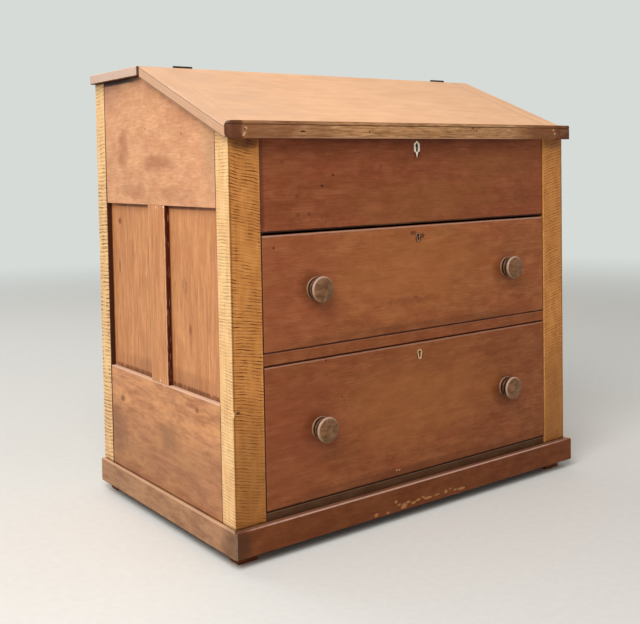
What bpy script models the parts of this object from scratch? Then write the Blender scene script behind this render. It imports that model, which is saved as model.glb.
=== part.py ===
"""Slant-lid desk chest: a panelled case with a well under a hinged lid and two drawers.

Metres, +Z up. The front faces -Y, and X runs to the right as the front is seen. The origin is
on the floor, in the middle of the chest's outer box.
"""

import math

import bmesh
import bpy
from mathutils import Vector

# Fits and finish
GAP = 0.0003  # between pieces that touch
RUN_GAP = 0.002  # beside a drawer
OVERRUN = 0.002  # how far a cutter passes the face that it cuts
EDGE_ROUND = 0.001  # worn arris of a visible board
EDGE_STEPS = 2
TURN_STEPS = 36
PIN_STEPS = 16
ARC_STEPS = 6
KNOB_STEPS = 4
MERGE = 0.00001

# Case
CASE_WIDTH = 0.966  # over the posts
CASE_DEPTH = 0.595
POST_WIDTH = 0.070  # across the front
POST_DEPTH = 0.048
HALF_WIDTH = CASE_WIDTH / 2
HALF_OPENING = HALF_WIDTH - POST_WIDTH
REAR_POST = CASE_DEPTH - POST_DEPTH

# Feet and plinth
FOOT_HEIGHT = 0.020
FOOT_WIDTH = 0.045
FOOT_DEPTH = 0.032
FOOT_INSET = 0.010  # from the post's outer faces
PLINTH_HEIGHT = 0.054
PLINTH_FRONT = 0.0165  # thickness of the front board
PLINTH_SIDE = 0.0104  # thickness of the side boards
PLINTH_ROUND = 0.003
PLINTH_TOP = FOOT_HEIGHT + PLINTH_HEIGHT

# Heights of the front, from the plinth up
BOTTOM_REVEAL = 0.016  # bottom rail seen over the plinth
LOWER_OPENING = 0.286
DRAWER_RAIL_HEIGHT = 0.026
UPPER_OPENING = 0.235
LOWER_FLOOR = PLINTH_TOP + BOTTOM_REVEAL
DRAWER_RAIL_BOTTOM = LOWER_FLOOR + LOWER_OPENING
UPPER_FLOOR = DRAWER_RAIL_BOTTOM + DRAWER_RAIL_HEIGHT
WELL_FRONT_BOTTOM = UPPER_FLOOR + UPPER_OPENING
WELL_FRONT_HEIGHT = 0.1882  # of its face, up to the lid
WELL_FRONT_SET_BACK = 0.003
WELL_FRONT_TOP = WELL_FRONT_BOTTOM + WELL_FRONT_HEIGHT

# Fixed ledge at the back, and the lid that slopes down from it
LEDGE_THICKNESS = 0.0197
LEDGE_DEPTH = 0.2573
LEDGE_SIDE_OVERHANG = 0.016
LEDGE_REAR_OVERHANG = 0.004
LEDGE_CORNER = 0.016  # radius in plan at the two rear corners
LEDGE_FRONT = CASE_DEPTH + LEDGE_REAR_OVERHANG - LEDGE_DEPTH
LID_SLOPE = math.radians(22.3)
LID_THICKNESS = 0.0222  # square to its face
LID_SIDE_OVERHANG = 0.013
LID_FRONT_OVERHANG = 0.0077
LID_TONGUE = 0.012  # length into a batten
LID_TONGUE_STOP = 0.030  # from the lid's front and rear edges
LID_TONGUE_THICKNESS = 0.008
BATTEN_WIDTH = 0.056
HINGE_GAP = 0.0047  # between the lid's rear edge and the ledge
LID_REAR = LEDGE_FRONT - HINGE_GAP
LID_UPRIGHT = LID_THICKNESS / math.cos(LID_SLOPE)
LID_HALF = HALF_WIDTH + LID_SIDE_OVERHANG
LID_RISE = (LID_REAR - WELL_FRONT_SET_BACK) * math.tan(LID_SLOPE)
LEDGE_HEIGHT = WELL_FRONT_TOP + GAP + LID_UPRIGHT + LID_RISE
LEDGE_BOTTOM = LEDGE_HEIGHT - LEDGE_THICKNESS
LIP_THICKNESS = 0.015
LIP_HEIGHT = 0.0333
LIP_BELOW = 0.0008  # under the lid's front lower arris
LIP_END_INSET = 0.0014  # from the lid's ends
LIP_BEAD = 0.0075  # height of the bead along the top
LIP_QUIRK = 0.001

# Side frames
FRAME_THICKNESS = 0.024
FRAME_INSET = 0.0008  # behind the posts' outer faces
SIDE_TOP_RAIL_RISE = 0.051  # its lower edge over the well front's
SIDE_BOTTOM_RAIL_HEIGHT = 0.2807
SIDE_BOTTOM_RAIL_LIFT = 0.004  # over the post's lower end
MUNTIN_WIDTH = 0.076
MUNTIN_SHIFT = 0.0025  # behind the middle of the side
PANEL_THICKNESS = 0.010
PANEL_REVEAL = 0.011  # frame's face to panel's face
PANEL_EDGE = 0.009  # held in each groove
TENON_THICKNESS = 0.010
TENON_LENGTH = 0.018
TENON_SHOULDER = 0.014  # above and below a side rail's tenon
MUNTIN_SHOULDER = 0.012
POST_LOW = FOOT_HEIGHT + GAP
SIDE_TOP_RAIL_BOTTOM = WELL_FRONT_BOTTOM + SIDE_TOP_RAIL_RISE
SIDE_BOTTOM_RAIL_TOP = POST_LOW + SIDE_BOTTOM_RAIL_LIFT + SIDE_BOTTOM_RAIL_HEIGHT
MUNTIN_FRONT = (CASE_DEPTH - MUNTIN_WIDTH) / 2 + MUNTIN_SHIFT

# Members of the front
WELL_FRONT_THICKNESS = 0.020
WELL_FRONT_TENON = 0.010  # its thickness
RAIL_SET_BACK = 0.003
RAIL_DEPTH = 0.045
RAIL_SHOULDER = 0.005
RAIL_CHEEK = 0.010
BOTTOM_RAIL_THICKNESS = 0.022
BOTTOM_RAIL_SET_BACK = 0.004

# Inside the case
BACK_THICKNESS = 0.010
BACK_SET_IN = 0.010  # back's outer face from the posts' rear faces
BACK_EDGE = 0.008  # in each rear post's groove
BACK_V_DEPTH = 0.003
BACK_BOARDS = 4
BOARD_THICKNESS = 0.014  # well floor and bottom board
WELL_FLOOR_LIFT = 0.002  # over the mortise of the upper drawer's bolt
FLOOR_EDGE = 0.008  # let into posts, rails and the well front
RUNNER_THICKNESS = 0.020
RUNNER_TREAD = 0.026  # under the drawer's side, from the post's inner face
RUNNER_INSET = 0.040
GUIDE_HEIGHT = 0.014
GUIDE_GAP = 0.0005
RUNNER_TENON = 0.010
BACK_FRONT = CASE_DEPTH - BACK_SET_IN - BACK_THICKNESS

# Drawers
DRAWER_SET_BACK = 0.002
DRAWER_FRONT_THICKNESS = 0.020
DRAWER_SIDE_THICKNESS = 0.012
DRAWER_BACK_THICKNESS = 0.012
DRAWER_REAR_ROOM = 0.018  # behind a closed drawer
DRAWER_LAP = 0.006  # of the front, over the dovetails
DRAWER_SIDE_DROP = 0.004  # under the front's top edge
DRAWER_BACK_DROP = 0.008
DRAWER_BOTTOM_THICKNESS = 0.008
DRAWER_BOTTOM_LIFT = 0.012
DRAWER_GROOVE = 0.006
UPPER_TOP_GAP = 0.005
LOWER_TOP_GAP = 0.0015
UPPER_KNOB_INSET = 0.129  # from the drawer's ends
LOWER_KNOB_INSET = 0.136
UPPER_TAILS = 4
LOWER_TAILS = 5
BACK_TAILS = 3
TAIL_ROOT_SHARE = 0.30  # half width over the pitch
TAIL_TIP_SHARE = 0.37
DRAWER_HALF = HALF_OPENING - RUN_GAP
DRAWER_REAR_FACE = DRAWER_SET_BACK + DRAWER_FRONT_THICKNESS
DRAWER_END = BACK_FRONT - DRAWER_REAR_ROOM

# Knobs: a flange on the drawer, a bead between two grooves, and a head
KNOB_RADIUS = 0.0285
KNOB_LENGTH = 0.032
KNOB_FLANGE_RADIUS = 0.0258
KNOB_FLANGE = 0.0042
KNOB_GROOVE_RADIUS = 0.0195
KNOB_GROOVE = 0.0022
KNOB_BEAD_RADIUS = 0.0240
KNOB_BEAD = 0.0075
KNOB_COVE_RADIUS = 0.0205
KNOB_RIM = 0.0060
KNOB_DOME = 0.0035  # height of the face over the rim
KNOB_SPIGOT_RADIUS = 0.008
KNOB_SPIGOT = 0.014

# Locks and keyholes
KEY_ROUND = 0.0042
KEY_SLOT = 0.0044
KEY_DROP = 0.0125  # from the round's centre to the slot's foot
DRAWER_KEY_DEPTH = 0.022  # drawer's top edge to the round's centre
LOCK_WIDTH = 0.050
LOCK_HEIGHT = 0.042
LOCK_THICKNESS = 0.010
LOCK_WALL = 0.0025
BOLT_WIDTH = 0.018
BOLT_THICKNESS = 0.0045
BOLT_LENGTH = 0.026
BOLT_REACH = 0.007  # into the rail above
BOLT_ROOM = 0.0008
WELL_LOCK_WIDTH = 0.050
WELL_LOCK_DEPTH = 0.018
WELL_LOCK_DROP = 0.0175  # from the keyhole's round to the lock's foot
WELL_LOCK_TOP_GAP = 0.001
WELL_KEY_DROP = 0.0197  # from the well front's top edge to the keyhole's round
WELL_KEY_REACH = 0.004  # into the lock
WELL_BOLT_LENGTH = 0.015
WELL_BOLT_SIZE = 0.004
WELL_BOLT_TRAVEL = 0.008
BONE_WIDTH = 0.0168
BONE_HEIGHT = 0.0367
BONE_RISE = 0.0106  # over the keyhole's round
BONE_THICKNESS = 0.0025
BONE_SHOULDER_SHARE = 0.826  # heights over its height
BONE_FOOT_SHARE = 0.403
BONE_NECK_SHARE = 0.308
BONE_NECK_WIDTH_SHARE = 0.36
WELL_KEY_HEIGHT = WELL_FRONT_TOP - WELL_KEY_DROP
WELL_LOCK_BOTTOM = WELL_KEY_HEIGHT - WELL_LOCK_DROP
BONE_TOP = WELL_KEY_HEIGHT + BONE_RISE

# Link plate under the lid
LINK_THICKNESS = 0.003
LINK_LENGTH = 0.011
LINK_DROP = 0.0125
LINK_EYE = 0.006
LINK_EYE_DROP = 0.0075
LINK_FRONT_ROOM = 0.0028  # for its swing as the lid lifts
LINK_ROOM = 0.0008
PLATE_WIDTH = 0.040
PLATE_LENGTH = 0.024
PLATE_THICKNESS = 0.002

# Hinges
HINGE_INSET = 0.072  # from the case's side
HINGE_LENGTH = 0.046
HINGE_BARREL = 0.003  # radius
HINGE_PIN = 0.0014  # radius
HINGE_RISE = 0.0012  # pin over the ledge
HINGE_LEAF = 0.0016
HINGE_LEAF_HEIGHT = 0.014
HINGE_NECK_DROP = 0.004  # leaf's top under the pin
HINGE_KNUCKLE_SHARES = (0.0, 0.33, 0.335, 0.665, 0.67, 1.0)  # where the knuckles start and end
HINGE_ROOM = 0.0004  # round the barrel, in the lid and the ledge
HINGE_DEPTH = LEDGE_FRONT - HINGE_GAP / 2
HINGE_HEIGHT = LEDGE_HEIGHT + HINGE_RISE

# The world place of the case's front: the chest is centred between its knobs and its ledge
KNOB_REACH = KNOB_LENGTH - DRAWER_SET_BACK
FRONT = (KNOB_REACH - CASE_DEPTH - LEDGE_REAR_OVERHANG) / 2

LEFT, RIGHT = -1, 1
SIDES = (("left", LEFT), ("right", RIGHT))


def clear_scene():
    for old in list(bpy.data.objects):
        bpy.data.objects.remove(old)


def finish(name, colour, roughness, metallic=0.0):
    """A Principled material of one colour."""
    material = bpy.data.materials.new(name)
    material.use_nodes = True
    shader = material.node_tree.nodes["Principled BSDF"]
    shader.inputs["Base Color"].default_value = (*colour, 1)
    shader.inputs["Roughness"].default_value = roughness
    shader.inputs["Metallic"].default_value = metallic
    return material


def mid(x, depth, height):
    """A world point: depth is measured back from the case's front, height from the floor."""
    return Vector((x, FRONT + depth, height))


def place(side, inset, depth, height):
    """A world point whose x is measured in from the left or the right face of the case."""
    return mid(side * (HALF_WIDTH - inset), depth, height)


def lid_top(depth):
    return LEDGE_HEIGHT - (LID_REAR - depth) * math.tan(LID_SLOPE)


def lid_under(depth):
    return lid_top(depth) - LID_UPRIGHT


def seat(depth):
    """Height of the case's sloping top edges, just clear of the closed lid."""
    return lid_under(depth) - GAP


def new_object(name, shape, material=None):
    """Origin in the middle of the shape. Without a material it is a helper that only cuts or joins."""
    bmesh.ops.recalc_face_normals(shape, faces=shape.faces)
    points = [vert.co for vert in shape.verts]
    middle = (Vector(map(min, *points)) + Vector(map(max, *points))) / 2
    bmesh.ops.translate(shape, verts=shape.verts, vec=-middle)
    mesh = bpy.data.meshes.new(name)
    shape.to_mesh(mesh)
    shape.free()
    obj = bpy.data.objects.new(name, mesh)
    obj.location = middle
    bpy.context.scene.collection.objects.link(obj)
    if material is None:
        obj.hide_render = True
        obj.display_type = "WIRE"
    else:
        mesh.materials.append(material)
    return obj


def box(name, corner, opposite, material=None):
    low, high = Vector(map(min, corner, opposite)), Vector(map(max, corner, opposite))
    shape = bmesh.new()
    bmesh.ops.create_cube(shape, size=1)
    bmesh.ops.scale(shape, verts=shape.verts, vec=high - low)
    bmesh.ops.translate(shape, verts=shape.verts, vec=(low + high) / 2)
    return new_object(name, shape, material)


def prisms(name, axis, outlines, start, end, material=None):
    """Outlines pushed from start to end along an axis.

    X takes (depth, height) points, Y takes (x, height) and Z takes (x, depth).
    """
    lift = {
        "X": lambda point, at: mid(at, *point),
        "Y": lambda point, at: mid(point[0], at, point[1]),
        "Z": lambda point, at: mid(point[0], point[1], at),
    }[axis]
    shape = bmesh.new()
    for outline in outlines:
        face = shape.faces.new([shape.verts.new(lift(point, start)) for point in outline])
        pushed = bmesh.ops.extrude_face_region(shape, geom=[face])["geom"]
        moved = [part for part in pushed if isinstance(part, bmesh.types.BMVert)]
        bmesh.ops.translate(shape, verts=moved, vec=lift(outline[0], end) - lift(outline[0], start))
    return new_object(name, shape, material)


def prism(name, axis, outline, start, end, material=None):
    return prisms(name, axis, [outline], start, end, material)


def rod(name, start, end, radius, material=None, steps=PIN_STEPS):
    """A cylinder from one world point to another."""
    way = end - start
    shape = bmesh.new()
    bmesh.ops.create_cone(
        shape, cap_ends=True, segments=steps, radius1=radius, radius2=radius, depth=way.length
    )
    bmesh.ops.transform(shape, verts=shape.verts, matrix=way.to_track_quat("Z", "Y").to_matrix())
    bmesh.ops.translate(shape, verts=shape.verts, vec=(start + end) / 2)
    return new_object(name, shape, material)


def turned(name, profile, base, material):
    """A round piece whose axis points to the front: its profile gives radius and distance from the base."""
    shape = bmesh.new()
    ring = [shape.verts.new(base + Vector((radius, -forward, 0))) for radius, forward in profile]
    edges = [shape.edges.new(pair) for pair in zip(ring, ring[1:])]
    bmesh.ops.spin(
        shape, geom=ring + edges, cent=base, axis=(0, 1, 0), angle=math.tau, steps=TURN_STEPS
    )
    bmesh.ops.remove_doubles(shape, verts=shape.verts, dist=MERGE)
    obj = new_object(name, shape, material)
    obj.data.shade_smooth()
    obj.data.set_sharp_from_angle(angle=math.radians(40))
    return obj


def boolean(target, helper, operation):
    modifier = target.modifiers.new(operation.title() + " " + helper.name, "BOOLEAN")
    modifier.operation = operation
    modifier.object = helper


def cut(target, helper):
    boolean(target, helper, "DIFFERENCE")


def join(target, helper):
    boolean(target, helper, "UNION")


def ease(obj, width=EDGE_ROUND, steps=EDGE_STEPS):
    """Rounds the arrises over a board, before its joints are cut."""
    modifier = obj.modifiers.new("Worn edges", "BEVEL")
    modifier.width = width
    modifier.segments = steps
    modifier.limit_method = "ANGLE"
    return obj


def let_in(host, name, corner, opposite, room=GAP):
    """Cuts a pocket in the host for a box that has these two corners, with room all round."""
    low, high = Vector(map(min, corner, opposite)), Vector(map(max, corner, opposite))
    margin = Vector((room, room, room))
    cut(host, box(name + " pocket", low - margin, high + margin))


def tenon(member, host, corner, opposite):
    """A tenon on the member, and the mortise for it in the host."""
    name = f"{member.name} in {host.name}"
    join(member, box(name, corner, opposite))
    let_in(host, name, corner, opposite)


def arc(x, y, radius, start, end, steps=ARC_STEPS):
    """Points along a circle from one angle in degrees to another."""
    angles = (math.radians(start + (end - start) * i / steps) for i in range(steps + 1))
    return [(x + radius * math.cos(angle), y + radius * math.sin(angle)) for angle in angles]


def hang(axis, pieces):
    """Parents the pieces to the empty on their joint's axis, each where it is."""
    for piece in pieces:
        piece.parent = axis
        piece.location -= axis.location


def axis_empty(name, point):
    empty = bpy.data.objects.new(name, None)
    empty.location = point
    bpy.context.scene.collection.objects.link(empty)
    return empty


def make_posts(wood):
    """The four corner posts, by (row, word)."""
    posts = {}
    for word, side in SIDES:
        faces = (side * HALF_WIDTH, side * HALF_OPENING)
        front = [(0, POST_LOW), (POST_DEPTH, POST_LOW), (POST_DEPTH, seat(POST_DEPTH)), (0, seat(0))]
        posts["front", word] = ease(prism(f"front_{word}_post", "X", front, *faces, wood))
        foot = place(side, 0, REAR_POST, POST_LOW)
        head = place(side, POST_WIDTH, CASE_DEPTH, LEDGE_BOTTOM - GAP)
        posts["rear", word] = ease(box(f"rear_{word}_post", foot, head, wood))
    return posts


def make_feet(wood):
    for word, side in SIDES:
        for row, depth in (("front", FOOT_INSET), ("rear", CASE_DEPTH - FOOT_INSET - FOOT_DEPTH)):
            ease(box(
                f"{row}_{word}_foot",
                place(side, FOOT_INSET, depth, 0),
                place(side, FOOT_INSET + FOOT_WIDTH, depth + FOOT_DEPTH, FOOT_HEIGHT),
                wood,
            ))


def make_plinth(wood):
    """Three boards round the foot of the case, mitred at the front corners."""
    outer = HALF_WIDTH + PLINTH_SIDE
    inner = HALF_WIDTH + GAP
    heights = (FOOT_HEIGHT, PLINTH_TOP)
    front = [(-outer, -PLINTH_FRONT), (outer, -PLINTH_FRONT), (inner, -GAP), (-inner, -GAP)]
    ease(prism("plinth_front", "Z", front, *heights, wood), PLINTH_ROUND)
    for word, side in SIDES:
        run = [(outer, GAP - PLINTH_FRONT), (outer, CASE_DEPTH), (inner, CASE_DEPTH), (inner, 0)]
        outline = [(side * x, depth) for x, depth in run]
        ease(prism(f"plinth_{word}", "Z", outline, *heights, wood), PLINTH_ROUND)


def make_side_frame(word, side, posts, frame_wood, panel_wood):
    """Two rails, a muntin and two panels between the posts of one side."""
    front_post, rear_post = posts["front", word], posts["rear", word]
    start, end = POST_DEPTH + GAP, REAR_POST - GAP
    faces = [side * (HALF_WIDTH - inset) for inset in (FRAME_INSET, FRAME_INSET + FRAME_THICKNESS)]
    tenon_inset = FRAME_INSET + (FRAME_THICKNESS - TENON_THICKNESS) / 2
    low = POST_LOW + SIDE_BOTTOM_RAIL_LIFT
    ledge_seat = LEDGE_BOTTOM - GAP
    top_outline = [
        (start, SIDE_TOP_RAIL_BOTTOM), (end, SIDE_TOP_RAIL_BOTTOM), (end, ledge_seat),
        (LEDGE_FRONT, ledge_seat), (LEDGE_FRONT, seat(LEDGE_FRONT)), (start, seat(start)),
    ]
    bottom_outline = [(start, low), (end, low), (end, SIDE_BOTTOM_RAIL_TOP), (start, SIDE_BOTTOM_RAIL_TOP)]
    top_rail = ease(prism(f"{word}_side_top_rail", "X", top_outline, *faces, frame_wood))
    bottom_rail = ease(prism(f"{word}_side_bottom_rail", "X", bottom_outline, *faces, frame_wood))
    for rail, bottom, top in (
        (top_rail, SIDE_TOP_RAIL_BOTTOM, seat(start)),
        (bottom_rail, low, SIDE_BOTTOM_RAIL_TOP),
    ):
        levels = bottom + TENON_SHOULDER + PANEL_EDGE, top - TENON_SHOULDER - PANEL_EDGE
        inner = tenon_inset + TENON_THICKNESS
        for post, root, tip in (
            (front_post, start + OVERRUN, start - TENON_LENGTH),
            (rear_post, end - OVERRUN, end + TENON_LENGTH),
        ):
            tenon(rail, post, place(side, tenon_inset, root, levels[0]), place(side, inner, tip, levels[1]))
    muntin_rear = MUNTIN_FRONT + MUNTIN_WIDTH
    muntin = ease(prism(
        f"{word}_muntin", "X",
        [
            (MUNTIN_FRONT, SIDE_BOTTOM_RAIL_TOP + GAP), (muntin_rear, SIDE_BOTTOM_RAIL_TOP + GAP),
            (muntin_rear, SIDE_TOP_RAIL_BOTTOM - GAP), (MUNTIN_FRONT, SIDE_TOP_RAIL_BOTTOM - GAP),
        ],
        *faces, frame_wood,
    ))
    widths = MUNTIN_FRONT + MUNTIN_SHOULDER, muntin_rear - MUNTIN_SHOULDER
    for rail, root, tip in (
        (top_rail, SIDE_TOP_RAIL_BOTTOM - OVERRUN, SIDE_TOP_RAIL_BOTTOM + TENON_LENGTH),
        (bottom_rail, SIDE_BOTTOM_RAIL_TOP + OVERRUN, SIDE_BOTTOM_RAIL_TOP - TENON_LENGTH),
    ):
        tenon(
            muntin, rail,
            place(side, tenon_inset, widths[0], root),
            place(side, tenon_inset + TENON_THICKNESS, widths[1], tip),
        )
    panel_inset = FRAME_INSET + PANEL_REVEAL
    for row, near, far, post in (
        ("front", POST_DEPTH, MUNTIN_FRONT, front_post),
        ("rear", muntin_rear, REAR_POST, rear_post),
    ):
        ends = (
            place(side, panel_inset, near - PANEL_EDGE, SIDE_BOTTOM_RAIL_TOP - PANEL_EDGE),
            place(side, panel_inset + PANEL_THICKNESS, far + PANEL_EDGE, SIDE_TOP_RAIL_BOTTOM + PANEL_EDGE),
        )
        panel = box(f"{word}_{row}_panel", *ends, panel_wood)
        for host in (post, muntin, top_rail, bottom_rail):
            let_in(host, f"{panel.name} in {host.name}", *ends)
    return {"top_rail": top_rail, "bottom_rail": bottom_rail}


def keyhole(name, height, front_depth, rear_depth):
    """A cutter for a keyhole: a round at this height with a slot under it."""
    slot = KEY_SLOT / 2
    spread = math.degrees(math.asin(slot / KEY_ROUND))
    outline = arc(0, height, KEY_ROUND, spread - 90, 270 - spread, 2 * ARC_STEPS)
    outline += [(-slot, height - KEY_DROP), (slot, height - KEY_DROP)]
    return prism(name, "Y", outline, front_depth, rear_depth)


def make_well_front(posts, wood):
    """The fixed board over the drawers that closes the well's front."""
    near, far = WELL_FRONT_SET_BACK, WELL_FRONT_SET_BACK + WELL_FRONT_THICKNESS
    outline = [(near, WELL_FRONT_BOTTOM), (far, WELL_FRONT_BOTTOM), (far, seat(far)), (near, seat(near))]
    board = ease(prism("well_front", "X", outline, GAP - HALF_OPENING, HALF_OPENING - GAP, wood))
    shoulder = (WELL_FRONT_THICKNESS - WELL_FRONT_TENON) / 2
    for word, side in SIDES:
        tenon(
            board, posts["front", word],
            place(side, POST_WIDTH + OVERRUN, near + shoulder, WELL_FRONT_BOTTOM + TENON_SHOULDER),
            place(side, POST_WIDTH - TENON_LENGTH, far - shoulder, seat(near) - TENON_SHOULDER),
        )
    return board


def make_front_rails(posts, rail_wood, bottom_wood):
    """The rail between the drawers and the bottom rail, tenoned into the front posts."""
    rails = []
    for name, near, far, low, high, inset, shoulder, wood in (
        (
            "drawer_rail", RAIL_SET_BACK, RAIL_SET_BACK + RAIL_DEPTH,
            DRAWER_RAIL_BOTTOM, UPPER_FLOOR, RAIL_CHEEK, RAIL_SHOULDER, rail_wood,
        ),
        (
            "bottom_rail", BOTTOM_RAIL_SET_BACK, BOTTOM_RAIL_SET_BACK + BOTTOM_RAIL_THICKNESS,
            POST_LOW + SIDE_BOTTOM_RAIL_LIFT, LOWER_FLOOR, RAIL_SHOULDER, RAIL_CHEEK, bottom_wood,
        ),
    ):
        half = HALF_OPENING - GAP
        rail = ease(box(name, mid(-half, near, low), mid(half, far, high), wood))
        for word, side in SIDES:
            tenon(
                rail, posts["front", word],
                place(side, POST_WIDTH + OVERRUN, near + inset, low + shoulder),
                place(side, POST_WIDTH - TENON_LENGTH, far - inset, high - shoulder),
            )
        rails.append(rail)
    return rails[0]


def make_back(posts, wood):
    """One glued-up board with a V at each joint, in grooves of the rear posts."""
    rear = BACK_FRONT + BACK_THICKNESS
    half = HALF_OPENING + BACK_EDGE
    outline = [(-half, BACK_FRONT), (half, BACK_FRONT), (half, rear)]
    for i in range(1, BACK_BOARDS):
        x = half - 2 * half * i / BACK_BOARDS
        outline += [(x + BACK_V_DEPTH, rear), (x, rear - BACK_V_DEPTH), (x - BACK_V_DEPTH, rear)]
    outline.append((-half, rear))
    low, high = POST_LOW + SIDE_BOTTOM_RAIL_LIFT, LEDGE_BOTTOM - GAP
    prism("back_panel", "Z", outline, low, high, wood)
    for word, side in SIDES:
        let_in(
            posts["rear", word], f"back_panel in rear_{word}_post",
            place(side, POST_WIDTH + OVERRUN, BACK_FRONT, POST_LOW - OVERRUN),
            place(side, POST_WIDTH - BACK_EDGE, rear, high + OVERRUN),
        )


def notched(narrow, wide, start, near, far):
    """The outline of a board that reaches the back and is notched round the four posts."""
    half = [
        (narrow, start), (narrow, near), (wide, near),
        (wide, far), (narrow, far), (narrow, BACK_FRONT - GAP),
    ]
    return half + [(-x, depth) for x, depth in reversed(half)]


def make_well_floor(posts, well_front, wood):
    """The well's bottom board. It is let into the four posts and into the well front."""
    low = WELL_FRONT_BOTTOM + BOLT_REACH + BOLT_ROOM + WELL_FLOOR_LIFT
    high = low + BOARD_THICKNESS
    wide = HALF_WIDTH - FRAME_INSET - PANEL_REVEAL - PANEL_THICKNESS - GAP
    narrow = HALF_OPENING + FLOOR_EDGE
    start = WELL_FRONT_SET_BACK + WELL_FRONT_THICKNESS - FLOOR_EDGE
    near, far = POST_DEPTH + GAP, REAR_POST - GAP
    outline = notched(narrow, wide, start, near, far)
    floor = prism("well_floor", "Z", outline, low, high, wood)
    for word, side in SIDES:
        let_in(
            floor, f"{word}_muntin in well_floor",
            place(side, FRAME_INSET, MUNTIN_FRONT, low - OVERRUN),
            place(side, FRAME_INSET + FRAME_THICKNESS, MUNTIN_FRONT + MUNTIN_WIDTH, high + OVERRUN),
        )
        for row, first, last in (("front", start, near), ("rear", far, BACK_FRONT)):
            let_in(
                posts[row, word], f"well_floor in {row}_{word}_post",
                place(side, POST_WIDTH - FLOOR_EDGE, first, low),
                place(side, POST_WIDTH + OVERRUN, last, high),
            )
    let_in(well_front, "well_floor in well_front", mid(-narrow, start, low), mid(narrow, near, high))


def make_bottom_board(rails, wood):
    """The lower drawer slides on this board, which is grooved into the bottom rails of the sides."""
    low, high = LOWER_FLOOR - BOARD_THICKNESS, LOWER_FLOOR
    wide = HALF_WIDTH - FRAME_INSET - FRAME_THICKNESS + FLOOR_EDGE
    narrow = HALF_OPENING - GAP
    near, far = POST_DEPTH + GAP, REAR_POST - GAP
    start = BOTTOM_RAIL_SET_BACK + BOTTOM_RAIL_THICKNESS + GAP
    prism("bottom_board", "Z", notched(narrow, wide, start, near, far), low, high, wood)
    for word, side in SIDES:
        let_in(
            rails[word], f"bottom_board in {word} rail",
            mid(side * wide, near - OVERRUN, low), mid(side * (wide - 2 * FLOOR_EDGE), far + OVERRUN, high),
        )


def make_runners(posts, wood):
    """Under each side of the upper drawer: a tread to slide on and a guide beside it."""
    low = UPPER_FLOOR - RUNNER_THICKNESS
    start, end = POST_DEPTH + GAP, REAR_POST - GAP
    outer = HALF_WIDTH - RUNNER_INSET
    guide = HALF_OPENING - GUIDE_GAP
    inner = HALF_OPENING - RUNNER_TREAD
    profile = [
        (outer, low), (inner, low), (inner, UPPER_FLOOR), (guide, UPPER_FLOOR),
        (guide, UPPER_FLOOR + GUIDE_HEIGHT), (outer, UPPER_FLOOR + GUIDE_HEIGHT),
    ]
    shoulder = RAIL_SHOULDER
    for word, side in SIDES:
        outline = [(side * x, height) for x, height in profile]
        runner = prism(f"{word}_drawer_runner", "Y", outline, start, end, wood)
        for row, root, tip in (
            ("front", start + OVERRUN, start - RUNNER_TENON),
            ("rear", end - OVERRUN, end + RUNNER_TENON),
        ):
            tenon(
                runner, posts[row, word],
                place(side, RUNNER_INSET + shoulder, root, low + shoulder),
                place(side, POST_WIDTH - shoulder, tip, UPPER_FLOOR - shoulder),
            )


def make_ledge(wood):
    """The fixed board at the back of the top, round at its two rear corners."""
    half = HALF_WIDTH + LEDGE_SIDE_OVERHANG
    rear = CASE_DEPTH + LEDGE_REAR_OVERHANG
    centre = half - LEDGE_CORNER, rear - LEDGE_CORNER
    outline = [(-half, LEDGE_FRONT), (half, LEDGE_FRONT)]
    outline += arc(*centre, LEDGE_CORNER, 0, 90)
    outline += arc(-centre[0], centre[1], LEDGE_CORNER, 90, 180)
    return ease(prism("top_board", "Z", outline, LEDGE_BOTTOM, LEDGE_HEIGHT, wood), EDGE_ROUND)


def lid_section(trim=0, stop=0):
    """The lid's section, thinner by the trim above and below and shorter by the stop at both ends."""
    front, rear = stop - LID_FRONT_OVERHANG, LID_REAR - stop
    return [
        (front, lid_under(front) + trim), (rear, lid_under(rear) + trim),
        (rear, lid_top(rear) - trim), (front, lid_top(front) - trim),
    ]


def make_lid(wood):
    """A panel between two end battens, tongued into them, with a strip along the front."""
    joint = LID_HALF - BATTEN_WIDTH
    trim = (LID_UPRIGHT - LID_TONGUE_THICKNESS) / 2
    panel = ease(prism("lid_panel", "X", lid_section(), -joint, joint, wood))
    pieces = [panel]
    for word, side in SIDES:
        faces = (side * (joint + GAP), side * LID_HALF)
        batten = ease(prism(f"lid_{word}_batten", "X", lid_section(), *faces, wood))
        span = (side * (joint - OVERRUN), side * (joint + LID_TONGUE))
        room = (span[0], span[1] + side * GAP)
        join(panel, prism(f"lid tongue {word}", "X", lid_section(trim, LID_TONGUE_STOP), *span))
        cut(batten, prism(f"lid groove {word}", "X", lid_section(trim - GAP, LID_TONGUE_STOP - GAP), *room))
        pieces.append(batten)
    return pieces


def make_lip(wood):
    """The strip on the lid's front edge: it stands over the lid, with a bead along its top."""
    back = -LID_FRONT_OVERHANG - GAP
    face = back - LIP_THICKNESS
    bottom = lid_under(-LID_FRONT_OVERHANG) - LIP_BELOW
    top = bottom + LIP_HEIGHT
    quirk = top - LIP_BEAD
    radius = LIP_BEAD / 2
    outline = [(back, bottom), (face, bottom), (face, quirk - LIP_QUIRK), (face + LIP_QUIRK, quirk)]
    outline += arc(face + radius, quirk + radius, radius, 220, 90)
    outline.append((back, top))
    half = LID_HALF - LIP_END_INSET
    return ease(prism("lid_lip", "X", outline, -half, half, wood), LIP_QUIRK / 2, 1)


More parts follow.
